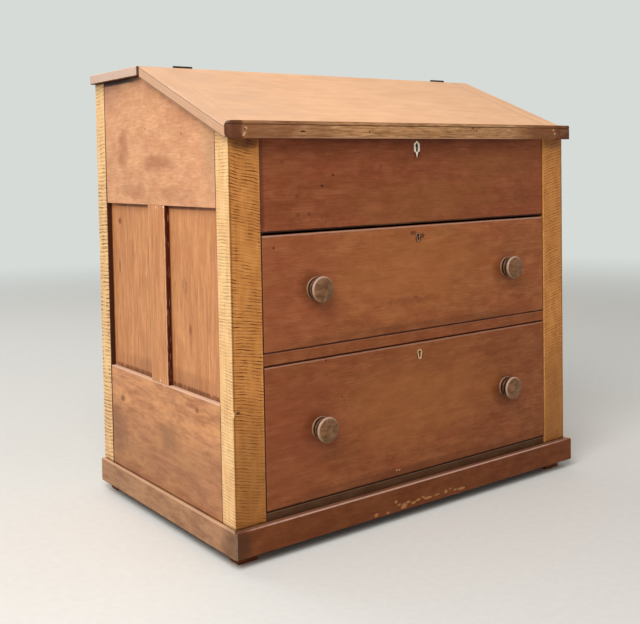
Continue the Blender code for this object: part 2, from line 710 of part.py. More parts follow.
def make_hinges(top_board, lid_panel, metal):
    """Two butt hinges between the lid's rear edge and the ledge. Their pins are the lid's axis."""
    def on_axis(x):
        return mid(x, HINGE_DEPTH, HINGE_HEIGHT)

    lid_leaves = []
    leaf_top = HINGE_HEIGHT - HINGE_NECK_DROP
    leaf_bottom = leaf_top - HINGE_LEAF_HEIGHT
    for word, side in SIDES:
        outer = HALF_WIDTH - HINGE_INSET
        ends = [side * (outer - HINGE_LENGTH * share) for share in HINGE_KNUCKLE_SHARES]
        for name, face, way, spans in (
            (f"{word}_hinge_fixed_leaf", LEDGE_FRONT - GAP, -1, (ends[:2], ends[4:])),
            (f"{word}_hinge_lid_leaf", LID_REAR + GAP, 1, (ends[2:4],)),
        ):
            edge = face + way * HINGE_LEAF
            leaf = box(name, mid(ends[0], face, leaf_bottom), mid(ends[5], edge, leaf_top), metal)
            for start, end in spans:
                neck_foot = mid(start, face, leaf_top - HINGE_LEAF)
                join(leaf, box(f"{name} neck", neck_foot, mid(end, edge, HINGE_HEIGHT)))
                join(leaf, rod(f"{name} knuckle", on_axis(start), on_axis(end), HINGE_BARREL))
            inside = side * OVERRUN
            if way < 0:
                pin = on_axis(ends[0] - inside), on_axis(ends[5] + inside)
                join(leaf, rod(f"{name} pin", *pin, HINGE_PIN))
            else:
                bore = on_axis(ends[1] + inside), on_axis(ends[4] - inside)
                cut(leaf, rod(f"{name} bore", *bore, HINGE_PIN + GAP))
                lid_leaves.append(leaf)
        relief = on_axis(ends[0] + side * GAP), on_axis(ends[5] - side * GAP)
        for host in (top_board, lid_panel):
            cut(host, rod(f"{word} relief in {host.name}", *relief, HINGE_BARREL + HINGE_ROOM))
    return lid_leaves


def bone_outline():
    half, bottom = BONE_WIDTH / 2, BONE_TOP - BONE_HEIGHT
    shoulder, foot, neck = (
        bottom + BONE_HEIGHT * share for share in (BONE_SHOULDER_SHARE, BONE_FOOT_SHARE, BONE_NECK_SHARE)
    )
    narrow = half * BONE_NECK_WIDTH_SHARE
    return [
        (0, bottom), (narrow, neck), (half, foot), (half, shoulder), (0, BONE_TOP),
        (-half, shoulder), (-half, foot), (-narrow, neck),
    ]


def grown(outline, room):
    """The outline moved out from its middle by about the room."""
    middle_x = sum(point[0] for point in outline) / len(outline)
    middle_y = sum(point[1] for point in outline) / len(outline)
    result = []
    for x, y in outline:
        way = Vector((x - middle_x, y - middle_y))
        result.append(Vector((x, y)) + way.normalized() * room * math.sqrt(2))
    return [tuple(point) for point in result]


def lid_point(depth, along, drop):
    """A (depth, height) point under the lid: along its slope and square to its lower face."""
    c, s = math.cos(LID_SLOPE), math.sin(LID_SLOPE)
    return depth + along * c + drop * s, lid_under(depth) + along * s - drop * c


def lid_block(depth, front, rear, top, bottom):
    """A section square to the lid, as a (depth, height) outline about the place at this depth."""
    corners = ((-front, top), (rear, top), (rear, bottom), (-front, bottom))
    return [lid_point(depth, along, drop) for along, drop in corners]


def make_well_lock(well_front, lid_panel, metal):
    """A box lock behind the well front. Its bolt slides sideways through the lid's link."""
    near = WELL_FRONT_SET_BACK + WELL_FRONT_THICKNESS + GAP
    far = near + WELL_LOCK_DEPTH
    middle = (near + far) / 2
    half = WELL_LOCK_WIDTH / 2
    outline = [
        (near, WELL_LOCK_BOTTOM), (far, WELL_LOCK_BOTTOM),
        (far, seat(far) - WELL_LOCK_TOP_GAP), (near, seat(near) - WELL_LOCK_TOP_GAP),
    ]
    case = prism("well_lock_case", "X", outline, -half, half, metal)
    hole = keyhole("well lock keyhole", WELL_KEY_HEIGHT, near - OVERRUN, near + WELL_KEY_REACH)
    cut(case, hole)

    along = LINK_LENGTH / 2
    slot = lid_block(
        middle, along + LINK_FRONT_ROOM, along + LINK_ROOM, -PLATE_LENGTH, LINK_DROP + LINK_ROOM
    )
    slot_half = LINK_THICKNESS / 2 + LINK_ROOM
    cut(case, prism("link slot", "X", slot, -slot_half, slot_half))

    eye = mid(0, *lid_point(middle, 0, LINK_EYE_DROP))
    start = Vector((slot_half + LINK_ROOM, 0, 0))
    size = WELL_BOLT_SIZE / 2
    bolt_ends = (
        eye + start - Vector((0, size, size)),
        eye + start + Vector((WELL_BOLT_LENGTH, size, size)),
    )
    box("well_lock_bolt", *bolt_ends, metal)
    let_in(case, "well bolt way", bolt_ends[0] - Vector((WELL_BOLT_TRAVEL + GAP, 0, 0)), bolt_ends[1])

    plate_half, plate_along = PLATE_WIDTH / 2, PLATE_LENGTH / 2
    plate_block = lid_block(middle, plate_along, plate_along, -PLATE_THICKNESS, 0)
    plate = prism("lid_link_plate", "X", plate_block, -plate_half, plate_half, metal)
    link = lid_block(middle, along, along, -PLATE_THICKNESS / 2, LINK_DROP)
    join(plate, prism("link", "X", link, -LINK_THICKNESS / 2, LINK_THICKNESS / 2))
    reach = Vector((plate_half, LINK_EYE / 2, LINK_EYE / 2))
    cut(plate, box("link eye", eye - reach, eye + reach))
    room = plate_along + GAP
    pocket = lid_block(middle, room, room, -PLATE_THICKNESS - GAP, OVERRUN)
    cut(lid_panel, prism("link plate pocket", "X", pocket, -plate_half - GAP, plate_half + GAP))
    return plate


def make_escutcheon(well_front, bone):
    """A lozenge of bone let in flush round the well's keyhole."""
    face = WELL_FRONT_SET_BACK
    back = face + BONE_THICKNESS
    inlay = prism("bone_escutcheon", "Y", bone_outline(), face, back, bone)
    cut(well_front, prism("bone seat", "Y", grown(bone_outline(), GAP), face - OVERRUN, back + GAP))
    through = WELL_FRONT_SET_BACK + WELL_FRONT_THICKNESS + OVERRUN
    hole = keyhole("well keyhole", WELL_KEY_HEIGHT, face - OVERRUN, through)
    for host in (well_front, inlay):
        cut(host, hole)


def tail_outlines(bottom, top, count, root, tip, room=0, root_run=0, tip_run=0):
    """Dovetails up a board's end, as trapezoids from the root to the wider tip. With room they are sockets,
    which run on straight past the root and the tip."""
    pitch = (top - bottom) / count
    edge = [(root, pitch * TAIL_ROOT_SHARE + room), (tip, pitch * TAIL_TIP_SHARE + room)]
    if room:
        edge = [(root + root_run, edge[0][1]), *edge, (tip + tip_run, edge[1][1])]
    outlines = []
    for i in range(count):
        middle = bottom + pitch * (i + 0.5)
        lower = [(depth, middle - half) for depth, half in edge]
        upper = [(depth, middle + half) for depth, half in reversed(edge)]
        outlines.append(lower + upper)
    return outlines


def knob_profile():
    """Radius and height along the knob's outline, from the drawer's face to the middle of its own."""
    flange, bead, rim = KNOB_FLANGE / 2, KNOB_BEAD / 2, KNOB_RIM / 2
    bead_end = KNOB_FLANGE + KNOB_GROOVE + KNOB_BEAD
    rim_end = KNOB_LENGTH - GAP - KNOB_DOME
    face_half = KNOB_RADIUS - rim
    face_radius = (face_half**2 + KNOB_DOME**2) / (2 * KNOB_DOME)
    slant = math.degrees(math.acos(face_half / face_radius))
    return [
        *arc(KNOB_FLANGE_RADIUS - flange, flange, flange, -90, 90, KNOB_STEPS),
        (KNOB_GROOVE_RADIUS, KNOB_FLANGE),
        (KNOB_GROOVE_RADIUS, KNOB_FLANGE + KNOB_GROOVE),
        *arc(KNOB_BEAD_RADIUS - bead, bead_end - bead, bead, -90, 90, KNOB_STEPS),
        (KNOB_COVE_RADIUS, (bead_end + rim_end - KNOB_RIM) / 2),
        *arc(face_half, rim_end - rim, rim, -90, 90, KNOB_STEPS),
        *arc(0, rim_end + KNOB_DOME - face_radius, face_radius, slant, 90, KNOB_STEPS),
    ]


def make_knob(name, x, height, wood):
    """A turned knob with a spigot in the drawer's front."""
    base = mid(x, DRAWER_SET_BACK - GAP, height)
    spigot = [(0, -KNOB_SPIGOT), (KNOB_SPIGOT_RADIUS, -KNOB_SPIGOT), (KNOB_SPIGOT_RADIUS, 0)]
    return turned(name, spigot + knob_profile(), base, wood)


def make_drawer(word, floor, ceiling, top_gap, knob_inset, tail_count, above, woods, metal):
    """A dovetailed drawer with two knobs and a lock, and the mortise for its bolt in the member above."""
    front_wood, box_wood, knob_wood = woods
    bottom, top = floor + GAP, ceiling - top_gap
    side_top, back_top = top - DRAWER_SIDE_DROP, top - DRAWER_BACK_DROP
    shoulder, back_shoulder = DRAWER_REAR_FACE + GAP, DRAWER_END - DRAWER_BACK_THICKNESS - GAP
    tip = DRAWER_SET_BACK + DRAWER_LAP
    inner = DRAWER_HALF - DRAWER_SIDE_THICKNESS
    groove_low = bottom + DRAWER_BOTTOM_LIFT
    groove_high = groove_low + DRAWER_BOTTOM_THICKNESS
    back_low = groove_high + GAP

    front = ease(box(
        f"{word}_drawer_front",
        mid(-DRAWER_HALF, DRAWER_SET_BACK, bottom), mid(DRAWER_HALF, DRAWER_REAR_FACE, top), front_wood,
    ))
    back = box(
        f"{word}_drawer_back",
        mid(-DRAWER_HALF, back_shoulder + GAP, back_low), mid(DRAWER_HALF, DRAWER_END, back_top), box_wood,
    )
    panel_half = inner + DRAWER_GROOVE
    panel_ends = (
        mid(-panel_half, DRAWER_REAR_FACE - DRAWER_GROOVE, groove_low),
        mid(panel_half, DRAWER_END, groove_high),
    )
    panel = box(f"{word}_drawer_bottom", *panel_ends, box_wood)
    let_in(front, f"{word} bottom in front", *panel_ends)
    pieces = [front, back, panel]

    front_tails = (bottom, side_top, tail_count)
    back_tails = (back_low, back_top, BACK_TAILS)
    for name, side in SIDES:
        outline = [(shoulder, bottom), (back_shoulder, bottom)]
        for tail in tail_outlines(*back_tails, back_shoulder, DRAWER_END):
            outline += tail
        outline += [(back_shoulder, side_top), (shoulder, side_top)]
        for tail in reversed(tail_outlines(*front_tails, shoulder, tip)):
            outline += reversed(tail)
        faces = (side * inner, side * DRAWER_HALF)
        board = prism(f"{word}_drawer_{name}_side", "X", outline, *faces, box_wood)
        let_in(board, f"{word} bottom in {name} side", panel_ends[0], panel_ends[1] + Vector((0, OVERRUN, 0)))
        sockets = (side * (inner - GAP), side * (DRAWER_HALF + OVERRUN))
        for host, outlines in (
            (front, tail_outlines(*front_tails, shoulder, tip, GAP, OVERRUN, -GAP)),
            (back, tail_outlines(*back_tails, back_shoulder, DRAWER_END, GAP, -OVERRUN, OVERRUN)),
        ):
            cut(host, prisms(f"{name} sockets in {host.name}", "X", outlines, *sockets))
        x = side * (DRAWER_HALF - knob_inset)
        height = (bottom + top) / 2
        pieces += [board, make_knob(f"{word}_drawer_{name}_knob", x, height, knob_wood)]
        bore = mid(x, DRAWER_SET_BACK - OVERRUN, height), mid(x, DRAWER_SET_BACK + KNOB_SPIGOT + GAP, height)
        cut(front, rod(f"{word} {name} knob hole", *bore, KNOB_SPIGOT_RADIUS + GAP, steps=TURN_STEPS))

    lock_near = DRAWER_REAR_FACE - LOCK_THICKNESS
    lock_ends = mid(-LOCK_WIDTH / 2, lock_near, top - LOCK_HEIGHT), mid(LOCK_WIDTH / 2, DRAWER_REAR_FACE, top)
    lock = box(f"{word}_drawer_lock", *lock_ends, metal)
    let_in(front, f"{word} lock", lock_ends[0], lock_ends[1] + Vector((0, OVERRUN, OVERRUN)))
    bolt_near = lock_near + LOCK_WALL
    bolt_ends = (
        mid(-BOLT_WIDTH / 2, bolt_near, top - BOLT_LENGTH),
        mid(BOLT_WIDTH / 2, bolt_near + BOLT_THICKNESS, top - GAP),
    )
    bolt = box(f"{word}_drawer_bolt", *bolt_ends, metal)
    let_in(lock, f"{word} bolt way", bolt_ends[0], bolt_ends[1] + Vector((0, 0, OVERRUN)))
    thrown = Vector((0, 0, top_gap + BOLT_REACH))
    let_in(above, f"{word} bolt mortise", bolt_ends[0], bolt_ends[1] + thrown, BOLT_ROOM)
    hole = keyhole(f"{word} keyhole", top - DRAWER_KEY_DEPTH, DRAWER_SET_BACK - OVERRUN, bolt_near + GAP)
    cut(front, hole)
    cut(lock, hole)
    pieces += [lock, bolt]

    slide = axis_empty(f"{word}_drawer_slide", mid(0, DRAWER_SET_BACK, (bottom + top) / 2))
    hang(slide, pieces)


def main():
    clear_scene()
    maple = finish("maple", (0.56, 0.33, 0.13), 0.38)
    case_cherry = finish("case_cherry", (0.48, 0.24, 0.12), 0.42)
    panel_cherry = finish("panel_cherry", (0.52, 0.26, 0.11), 0.42)
    front_cherry = finish("front_cherry", (0.24, 0.085, 0.036), 0.35)
    plinth_cherry = finish("plinth_cherry", (0.19, 0.07, 0.035), 0.45)
    dark_cherry = finish("dark_cherry", (0.05, 0.025, 0.015), 0.5)
    lid_cherry = finish("lid_cherry", (0.75, 0.46, 0.27), 0.4)
    knob_wood = finish("knob_wood", (0.19, 0.115, 0.065), 0.45)
    pine = finish("pine", (0.55, 0.38, 0.2), 0.6)
    iron = finish("iron", (0.05, 0.045, 0.04), 0.5, 1.0)
    bone = finish("bone", (0.8, 0.72, 0.58), 0.4)

    posts = make_posts(maple)
    make_feet(plinth_cherry)
    make_plinth(plinth_cherry)
    rails = {}
    for word, side in SIDES:
        rails[word] = make_side_frame(word, side, posts, case_cherry, panel_cherry)["bottom_rail"]
    well_front = make_well_front(posts, front_cherry)
    drawer_rail = make_front_rails(posts, front_cherry, dark_cherry)
    make_back(posts, pine)
    make_well_floor(posts, well_front, pine)
    make_bottom_board(rails, pine)
    make_runners(posts, pine)
    top_board = make_ledge(lid_cherry)

    lid = make_lid(lid_cherry)
    lid.append(make_lip(front_cherry))
    lid += make_hinges(top_board, lid[0], iron)
    lid.append(make_well_lock(well_front, lid[0], iron))
    make_escutcheon(well_front, bone)
    hang(axis_empty("lid_axis", mid(0, HINGE_DEPTH, HINGE_HEIGHT)), lid)

    woods = front_cherry, pine, knob_wood
    make_drawer(
        "upper", UPPER_FLOOR, WELL_FRONT_BOTTOM, UPPER_TOP_GAP, UPPER_KNOB_INSET, UPPER_TAILS,
        well_front, woods, iron,
    )
    make_drawer(
        "lower", LOWER_FLOOR, DRAWER_RAIL_BOTTOM, LOWER_TOP_GAP, LOWER_KNOB_INSET, LOWER_TAILS,
        drawer_rail, woods, iron,
    )


main()
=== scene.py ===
"""Dresses the slant-lid desk chest: its woods and metals, its knobs and small fittings, and a plain studio.

Metres, +Z up, and the front faces -Y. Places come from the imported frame's own boxes. Patterns are
drawn in millimetres, in each board's own frame: x along the grain, y across it, z through the board.
"""

import math
from typing import NamedTuple

import bmesh
import bpy
from bpy.props import FloatProperty, FloatVectorProperty, IntProperty, PointerProperty
from mathutils import Matrix, Vector


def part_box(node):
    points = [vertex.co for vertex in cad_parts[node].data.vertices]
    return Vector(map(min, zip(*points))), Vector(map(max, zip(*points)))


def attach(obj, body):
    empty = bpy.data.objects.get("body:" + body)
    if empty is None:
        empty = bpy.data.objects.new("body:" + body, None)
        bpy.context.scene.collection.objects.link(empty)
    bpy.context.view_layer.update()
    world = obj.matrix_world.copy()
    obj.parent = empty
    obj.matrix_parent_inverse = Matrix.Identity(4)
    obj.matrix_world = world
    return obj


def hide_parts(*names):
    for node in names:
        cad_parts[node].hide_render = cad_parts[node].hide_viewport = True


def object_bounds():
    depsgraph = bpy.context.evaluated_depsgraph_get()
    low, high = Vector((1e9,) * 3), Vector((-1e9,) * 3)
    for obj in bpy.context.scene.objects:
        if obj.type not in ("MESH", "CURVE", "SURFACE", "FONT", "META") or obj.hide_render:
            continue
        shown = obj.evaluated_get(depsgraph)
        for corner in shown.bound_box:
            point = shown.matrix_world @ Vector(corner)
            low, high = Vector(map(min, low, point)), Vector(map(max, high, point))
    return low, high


bl_info = {
    "name": "Slant-lid desk chest",
    "version": (1, 0, 0),
    "blender": (4, 5, 0),
    "location": "View3D > Sidebar > Desk chest",
    "description": "Finishes, knobs, fittings and studio of a slant-lid desk chest",
    "category": "Object",
}

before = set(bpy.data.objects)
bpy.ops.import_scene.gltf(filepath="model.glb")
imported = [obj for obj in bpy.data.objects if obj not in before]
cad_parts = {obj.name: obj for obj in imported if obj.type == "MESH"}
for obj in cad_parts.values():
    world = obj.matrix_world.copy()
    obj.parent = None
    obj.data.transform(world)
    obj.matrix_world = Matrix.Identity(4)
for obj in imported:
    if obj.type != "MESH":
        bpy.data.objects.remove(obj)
CAD_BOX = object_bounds()

MM = 0.001
X, Y, Z = Vector((1, 0, 0)), Vector((0, 1, 0)), Vector((0, 0, 1))
LID_SLOPE = math.radians(22.3)
UP_LID = Vector((0, math.cos(LID_SLOPE), math.sin(LID_SLOPE)))
FACING_FRONT = (math.radians(90), 0, 0)  # turns a primitive's +Z towards -Y
SIDES = (("left", -1), ("right", 1))
DRAWERS = ("upper", "lower")
KEY_ROUND = 0.0042  # radius, as cut in the drawers
KEY_SLOT = 0.0044
KEY_DROP = 0.0125
KEY_UNDER_EDGE = 0.022  # drawer's top edge to the round's centre
KEYHOLE_SHADE = 0.010  # reach of the grime beside a keyhole

SKIN = 0.01  # depth of a mark that lies on a face, and its margin past the face's edges
SEAT_SHADE = 0.0025  # height of the painted shade over the plinth
BROAD_MARK = 0.018  # middle reach over which a mark has a coarsely torn rim
SCREW_PROUD = 0.0002  # how far a screw's head stands out

# The two dark colours below are used for real grime, holes and dents, and also for painted shade in gaps,
# under overhangs and in recesses
GRIME_AND_SHADE = "#3B1E12"
SOOT_AND_SHADE = "#1C0C06"
GAP = "#300E06"  # shade in the joints between the fronts
DUSTY_ARRIS = "#B08A78"
RUBBED_RIM = "#B07C64"


def linear(text):
    """An sRGB hex colour as linear light."""
    parts = [int(text[i:i + 2], 16) / 255 for i in (1, 3, 5)]
    return tuple(c / 12.92 if c <= 0.04045 else ((c + 0.055) / 1.055) ** 2.4 for c in parts)


def colour_of(name, note, text):
    return FloatVectorProperty(
        name=name, description=note, subtype="COLOR", size=3, min=0, max=1, default=linear(text)
    )


def length_of(name, note, metres):
    return FloatProperty(
        name=name, description=note, subtype="DISTANCE", unit="LENGTH", min=0, default=metres
    )


class DESKCHEST_PG_woods(bpy.types.PropertyGroup):
    """Colours of the woods under their finish."""

    maple: colour_of("Curly maple", "Front faces of the posts", "#CA8745")
    # Paler than the front faces of the same maple: painted light and sheen for the lit side
    lit_side_maple: colour_of("Bleached maple", "Outer side faces of the posts", "#FEC589")
    curl: colour_of("Maple curl", "Dark stripes across the posts", "#5A2606")
    side_cherry: colour_of("Top side rails", "Faded cherry of the upper sides", "#DDA279")
    low_cherry: colour_of("Bottom side rails", "Faded cherry of the lower sides", "#CB8F64")
    panel_cherry: colour_of("Side panels", "Faded cherry of the panels and muntins", "#CF9363")
    lid_cherry: colour_of("Lid and ledge", "Cherry of the writing slope", "#E9B68D")
    batten_side: colour_of("Batten sides", "Outer sides of the lid's battens", "#D8A680")
    ledge_end: colour_of("Ledge ends", "Greyed end grain of the ledge", "#D2B4A2")
    lip_cherry: colour_of("Lip", "Handled strip along the lid's front", "#B88A5F")
    front_cherry: colour_of("Drawer fronts", "Stained cherry of the upper drawer and the rail", "#985935")
    low_front: colour_of("Lower drawer", "Stained cherry of the lower drawer", "#8A4F2E")
    # The well front's colour is set darker than the drawers' as painted shade: the lid's shadow over it
    well_cherry: colour_of("Well front", "Darker board over the drawers", "#8A4C2E")
    plinth_cherry: colour_of("Plinth", "Stained cherry of the plinth's front and the feet", "#703C1E")
    plinth_side: colour_of("Plinth sides", "Faded cherry of the plinth's sides", "#AC7F5E")
    dark_cherry: colour_of("Bottom rail", "The dark strip over the plinth", "#5A3C28")
    knob_wood: colour_of("Knobs", "Turned knobs, grey with handling", "#734E30")
    pine: colour_of("Pine", "Raw pine of the drawers, floors and back", "#C69C6A")


class DESKCHEST_PG_fittings(bpy.types.PropertyGroup):
    """Colours and sizes of the knobs, screws, nails and keyholes."""

    iron: colour_of("Iron", "Hinges, locks and screws", "#4A443E")
    brass: colour_of("Brass", "Keyhole liners", "#F2C8A0")
    bone: colour_of("Bone", "Escutcheon of the well", "#FFF6E0")
    knob_radius: length_of("Knob radius", "Largest radius of a knob", 0.0264)
    knob_reach: length_of("Knob reach", "From the drawer to the middle of a knob's face", 0.030)
    knob_sides: IntProperty(name="Knob sides", description="Facets round a knob", default=96, min=24, max=256)
    screw_head: length_of("Screw head", "Diameter of a screw's head", 0.0062)
    nail_head: length_of("Nail head", "Width of a nail's head in the lip", 0.0042)
    liner_wall: length_of("Liner wall", "Metal round the lower keyhole", 0.0030)
    lip_round: length_of("Lip round", "Radius of the lip's front corners and left end", 0.0105)


class DESKCHEST_PG_studio(bpy.types.PropertyGroup):
    """Floor, backdrop, lamps and lens."""

    floor: colour_of("Floor", "Plain pale floor", "#E2E0DA")
    backdrop: colour_of("Backdrop", "Plain pale surroundings", "#D6DBD7")
    ambient: FloatProperty(name="Ambient", description="Light from all round", default=0.42, min=0)
    key: FloatProperty(name="Key lamp", description="Soft lamp at the left, watts", default=138, min=0)
    rim: FloatProperty(name="Rear lamp", description="Soft lamp behind, watts", default=40, min=0)
    lens: FloatProperty(name="Lens", description="Focal length in mm", default=53.1266, min=10)


class Mark(NamedTuple):
    """A stain or a rubbed place, in metres, and the colour that shows there."""

    place: tuple  # of its middle
    reach: tuple  # from its middle, each way
    colour: str
    amount: float = 1.0
    ragged: float = 0.5
    soft: float = 0.5
    corners: float = 2.0  # 2 is round, and more is nearer a box


class Side(NamedTuple):
    """One side of a board with a colour of its own."""

    axis: str  # X along, Y across or Z through the board
    sign: int
    colour: tuple
    amount: float = 1.0


class Line(NamedTuple):
    """A line along one side of a board, between two distances from that side in millimetres."""

    axis: str
    sign: int
    near: float
    far: float
    colour: str
    amount: float = 1.0


class Curl(NamedTuple):
    """Dark stripes across the grain, in millimetres."""

    pitch: float = 6.2
    slant: float = 0.2  # drop across the board
    lean: float = 0.0  # drop through it
    dash: float = 17  # length of one dash
    strength: float = 1.0
    on_sides: float = 0.3  # share of it that shows on the narrow sides


class Wood(NamedTuple):
    """What a wood shows: its patterns in millimetres, and their strengths from 0 to 1."""

    label: str
    deep: tuple  # tint of the darkest tone
    pale: tuple  # tint of the palest tone
    rings: tuple  # pitch, wander and strength
    figure: tuple  # length along the grain, width across it and strength of each layer
    flecks: float
    worn: tuple  # tint of a rubbed arris
    wear: tuple  # width and strength
    roughness: float
    coat: float = 0.03
    gleam: float = 0.22  # specular level
    patches: tuple = ()  # length, width, amount and tint of each
    scuffs: float = 0.0  # pale scratches along the grain


class Board:
    """A node's own frame: x along the grain, y across the board and z through it."""

    def __init__(self, name, along, across):
        self.name = name
        self.turn = Matrix((along, across, along.cross(across)))
        points = [self.turn @ vert.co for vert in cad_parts[name].data.vertices]
        low, high = Vector(map(min, *points)), Vector(map(max, *points))
        self.centre = (low + high) / 2
        self.half = (high - low) / 2


def add(tree, kind, inputs=(), **settings):
    """Adds a shader node with its settings, and with values or other nodes' outputs on its inputs."""
    node = tree.nodes.new("ShaderNode" + kind)
    for name, value in settings.items():
        setattr(node, name, value)
    for key, value in dict(inputs).items():
        sockets = [s for s in node.inputs if s.enabled]
        socket = sockets[key] if isinstance(key, int) else next(s for s in sockets if s.name == key)
        if isinstance(value, bpy.types.Node):
            value = next(s for s in value.outputs if s.enabled)
        if isinstance(value, bpy.types.NodeSocket):
            tree.links.new(value, socket)
        else:
            socket.default_value = value
    return node


def begin_material(name):
    """A new material with its Principled shader."""
    material = bpy.data.materials.new(name)
    material.use_nodes = True
    return material, material.node_tree, material.node_tree.nodes["Principled BSDF"]


def tinted(colour, tint=(1, 1, 1)):
    return (*(min(1.0, c * t) for c, t in zip(colour, tint)), 1)


def finish_surface(tree, shader, ground, layers, roughness, height):
    """Lays the layers' colours over the ground, each by its mask, and sets roughness and relief in mm."""
    for mask, colour in layers:
        ground = add(tree, "Mix", {"Factor": mask, "A": ground, "B": colour}, data_type="RGBA")
    bump = add(tree, "Bump", {"Height": height, "Distance": MM})
    for node, name in ((ground, "Base Color"), (roughness, "Roughness"), (bump, "Normal")):
        tree.links.new(next(s for s in node.outputs if s.enabled), shader.inputs[name])


def grain_noise(tree, place, length, width, seed, detail=2.0, low=0.3, high=0.7):
    """Marks of this length along the grain and this width across it, from 0 to 1."""
    squeezed = add(
        tree, "VectorMath", {0: place, 1: (1 / length, 1 / width, 1 / width)}, operation="MULTIPLY"
    )
    noise = add(
        tree, "TexNoise", {"Vector": squeezed, "W": seed, "Scale": 1, "Detail": detail},
        noise_dimensions="4D",
    )
    return add(tree, "MapRange", {"Value": noise, "From Min": low, "From Max": high})


def growth_rings(tree, place, pitch, wander, seed):
    """Rings round a pith that lies off the board, bent by slow drifts along it."""
    drift = grain_noise(tree, place, 320, 45, seed + 3.1, detail=1.0, low=0.2, high=0.8)
    off_pith = add(
        tree, "VectorMath", {0: place, 1: (0, 1, 1), 2: (0, 12, 70)}, operation="MULTIPLY_ADD"
    )
    radius = add(tree, "VectorMath", {0: off_pith}, operation="LENGTH")
    bent = add(
        tree, "Math", {0: drift, 1: wander, 2: radius.outputs["Value"]}, operation="MULTIPLY_ADD"
    )
    turns = add(tree, "Math", {0: bent, 1: math.tau / pitch}, operation="MULTIPLY")
    wave = add(tree, "Math", {0: turns}, operation="SINE")
    return add(tree, "MapRange", {"Value": wave, "From Min": -1, "From Max": 1})


def curl_stripes(tree, place, half, curl, seed):
    """Dark stripes across the grain, coarse over fine, broken into dashes and uneven in strength."""
    warp = grain_noise(tree, place, 95, 80, seed + 7.1, detail=1.0, low=0.2, high=0.8)
    slanted = add(
        tree, "VectorMath", {0: place, 1: (1, curl.slant, curl.lean)}, operation="DOT_PRODUCT"
    ).outputs["Value"]
    bent = add(tree, "Math", {0: warp, 1: curl.pitch * 1.6, 2: slanted}, operation="MULTIPLY_ADD")
    jitter = grain_noise(tree, place, curl.pitch * 1.4, 15, seed + 6.3, detail=1.0, low=0.2, high=0.8)
    bent = add(tree, "Math", {0: jitter, 1: curl.pitch * 0.35, 2: bent}, operation="MULTIPLY_ADD")
    both = -0.45
    for pitch, share in ((curl.pitch, 0.7), (curl.pitch * 0.63, 0.5)):
        turns = add(tree, "Math", {0: bent, 1: math.tau / pitch}, operation="MULTIPLY")
        wave = add(tree, "Math", {0: turns}, operation="SINE")
        both = add(tree, "Math", {0: wave, 1: share, 2: both}, operation="MULTIPLY_ADD")
    stripe = add(tree, "MapRange", {"Value": both, "From Min": -0.7, "From Max": 0.3})
    dashes = grain_noise(tree, place, curl.pitch * 0.5, curl.dash, seed + 8.2, detail=2.0, low=0.3, high=0.62)
    whole = add(tree, "MapRange", {"Value": dashes, "To Min": 0.25, "To Max": 1})
    zones = grain_noise(tree, place, 50, 22, seed + 9.3, detail=2.0, low=0.36, high=0.6)
    faded = add(tree, "MapRange", {"Value": zones, "To Min": 0.2 * curl.strength, "To Max": curl.strength})
    broken = add(tree, "Math", {0: stripe, 1: whole}, operation="MULTIPLY")
    stripes = add(tree, "Math", {0: broken, 1: faded}, operation="MULTIPLY")
    off_middle = add(tree, "VectorMath", {0: place}, operation="ABSOLUTE")
    across = add(tree, "SeparateXYZ", {0: off_middle}).outputs["Y"]
    share = add(tree, "MapRange", {
        "Value": across, "From Min": half.y / MM - 1.2, "From Max": half.y / MM - 0.4,
        "To Min": 1, "To Max": curl.on_sides,
    })
    return add(tree, "Math", {0: stripes, 1: share}, operation="MULTIPLY")


def edge_closeness(tree, place, half):
    """Minus the distance to the nearest arris, in millimetres."""
    distance = add(tree, "VectorMath", {0: place}, operation="ABSOLUTE")
    inside = add(tree, "VectorMath", {0: distance, 1: tuple(half / MM)}, operation="SUBTRACT")
    sides = add(tree, "SeparateXYZ", {0: inside})
    pairs = []
    for first, second in (("X", "Y"), ("Y", "Z"), ("X", "Z")):
        pairs.append(add(
            tree, "Math", {0: sides.outputs[first], 1: sides.outputs[second]}, operation="MINIMUM"
        ))
    nearer = add(tree, "Math", {0: pairs[0], 1: pairs[1]}, operation="MAXIMUM")
    return add(tree, "Math", {0: nearer, 1: pairs[2]}, operation="MAXIMUM")


def line_mask(tree, parts, half, line, fray):
    """The line's amount along it and 0 beside it; its width wavers."""
    edge = half["XYZ".index(line.axis)] / MM
    inward = add(
        tree, "Math", {0: parts.outputs[line.axis], 1: -line.sign, 2: edge}, operation="MULTIPLY_ADD"
    )
    waver = (line.far - line.near) * 0.5
    depth = add(tree, "Math", {0: fray, 1: waver, 2: inward}, operation="MULTIPLY_ADD")
    far = line.far + waver / 2
    mask = add(tree, "MapRange", {
        "Value": depth, "From Min": far + 0.35, "From Max": far - 0.35, "To Max": line.amount,
    })
    if not line.near:
        return mask
    near = line.near + waver / 2
    begun = add(tree, "MapRange", {"Value": depth, "From Min": near - 0.35, "From Max": near + 0.35})
    return add(tree, "Math", {0: mask, 1: begun}, operation="MULTIPLY")


def mark_mask(tree, world, mark, fray):
    """The mark's amount inside it and 0 outside, with a frayed rim."""
    away = add(tree, "VectorMath", {0: world, 1: mark.place}, operation="SUBTRACT")
    shares = add(tree, "VectorMath", {0: away, 1: mark.reach}, operation="DIVIDE")
    sizes = add(tree, "VectorMath", {0: shares}, operation="ABSOLUTE")
    powers = add(tree, "VectorMath", {0: sizes, 1: (mark.corners,) * 3}, operation="POWER")
    total = add(tree, "VectorMath", {0: powers, 1: (1, 1, 1)}, operation="DOT_PRODUCT")
    frayed = add(
        tree, "Math", {0: fray, 1: mark.ragged, 2: total.outputs["Value"]}, operation="MULTIPLY_ADD"
    )
    return add(tree, "MapRange", {
        "Value": frayed, "From Min": 1 + mark.ragged / 2,
        "From Max": (1 - mark.soft) ** mark.corners + mark.ragged / 2, "To Max": mark.amount,
    })


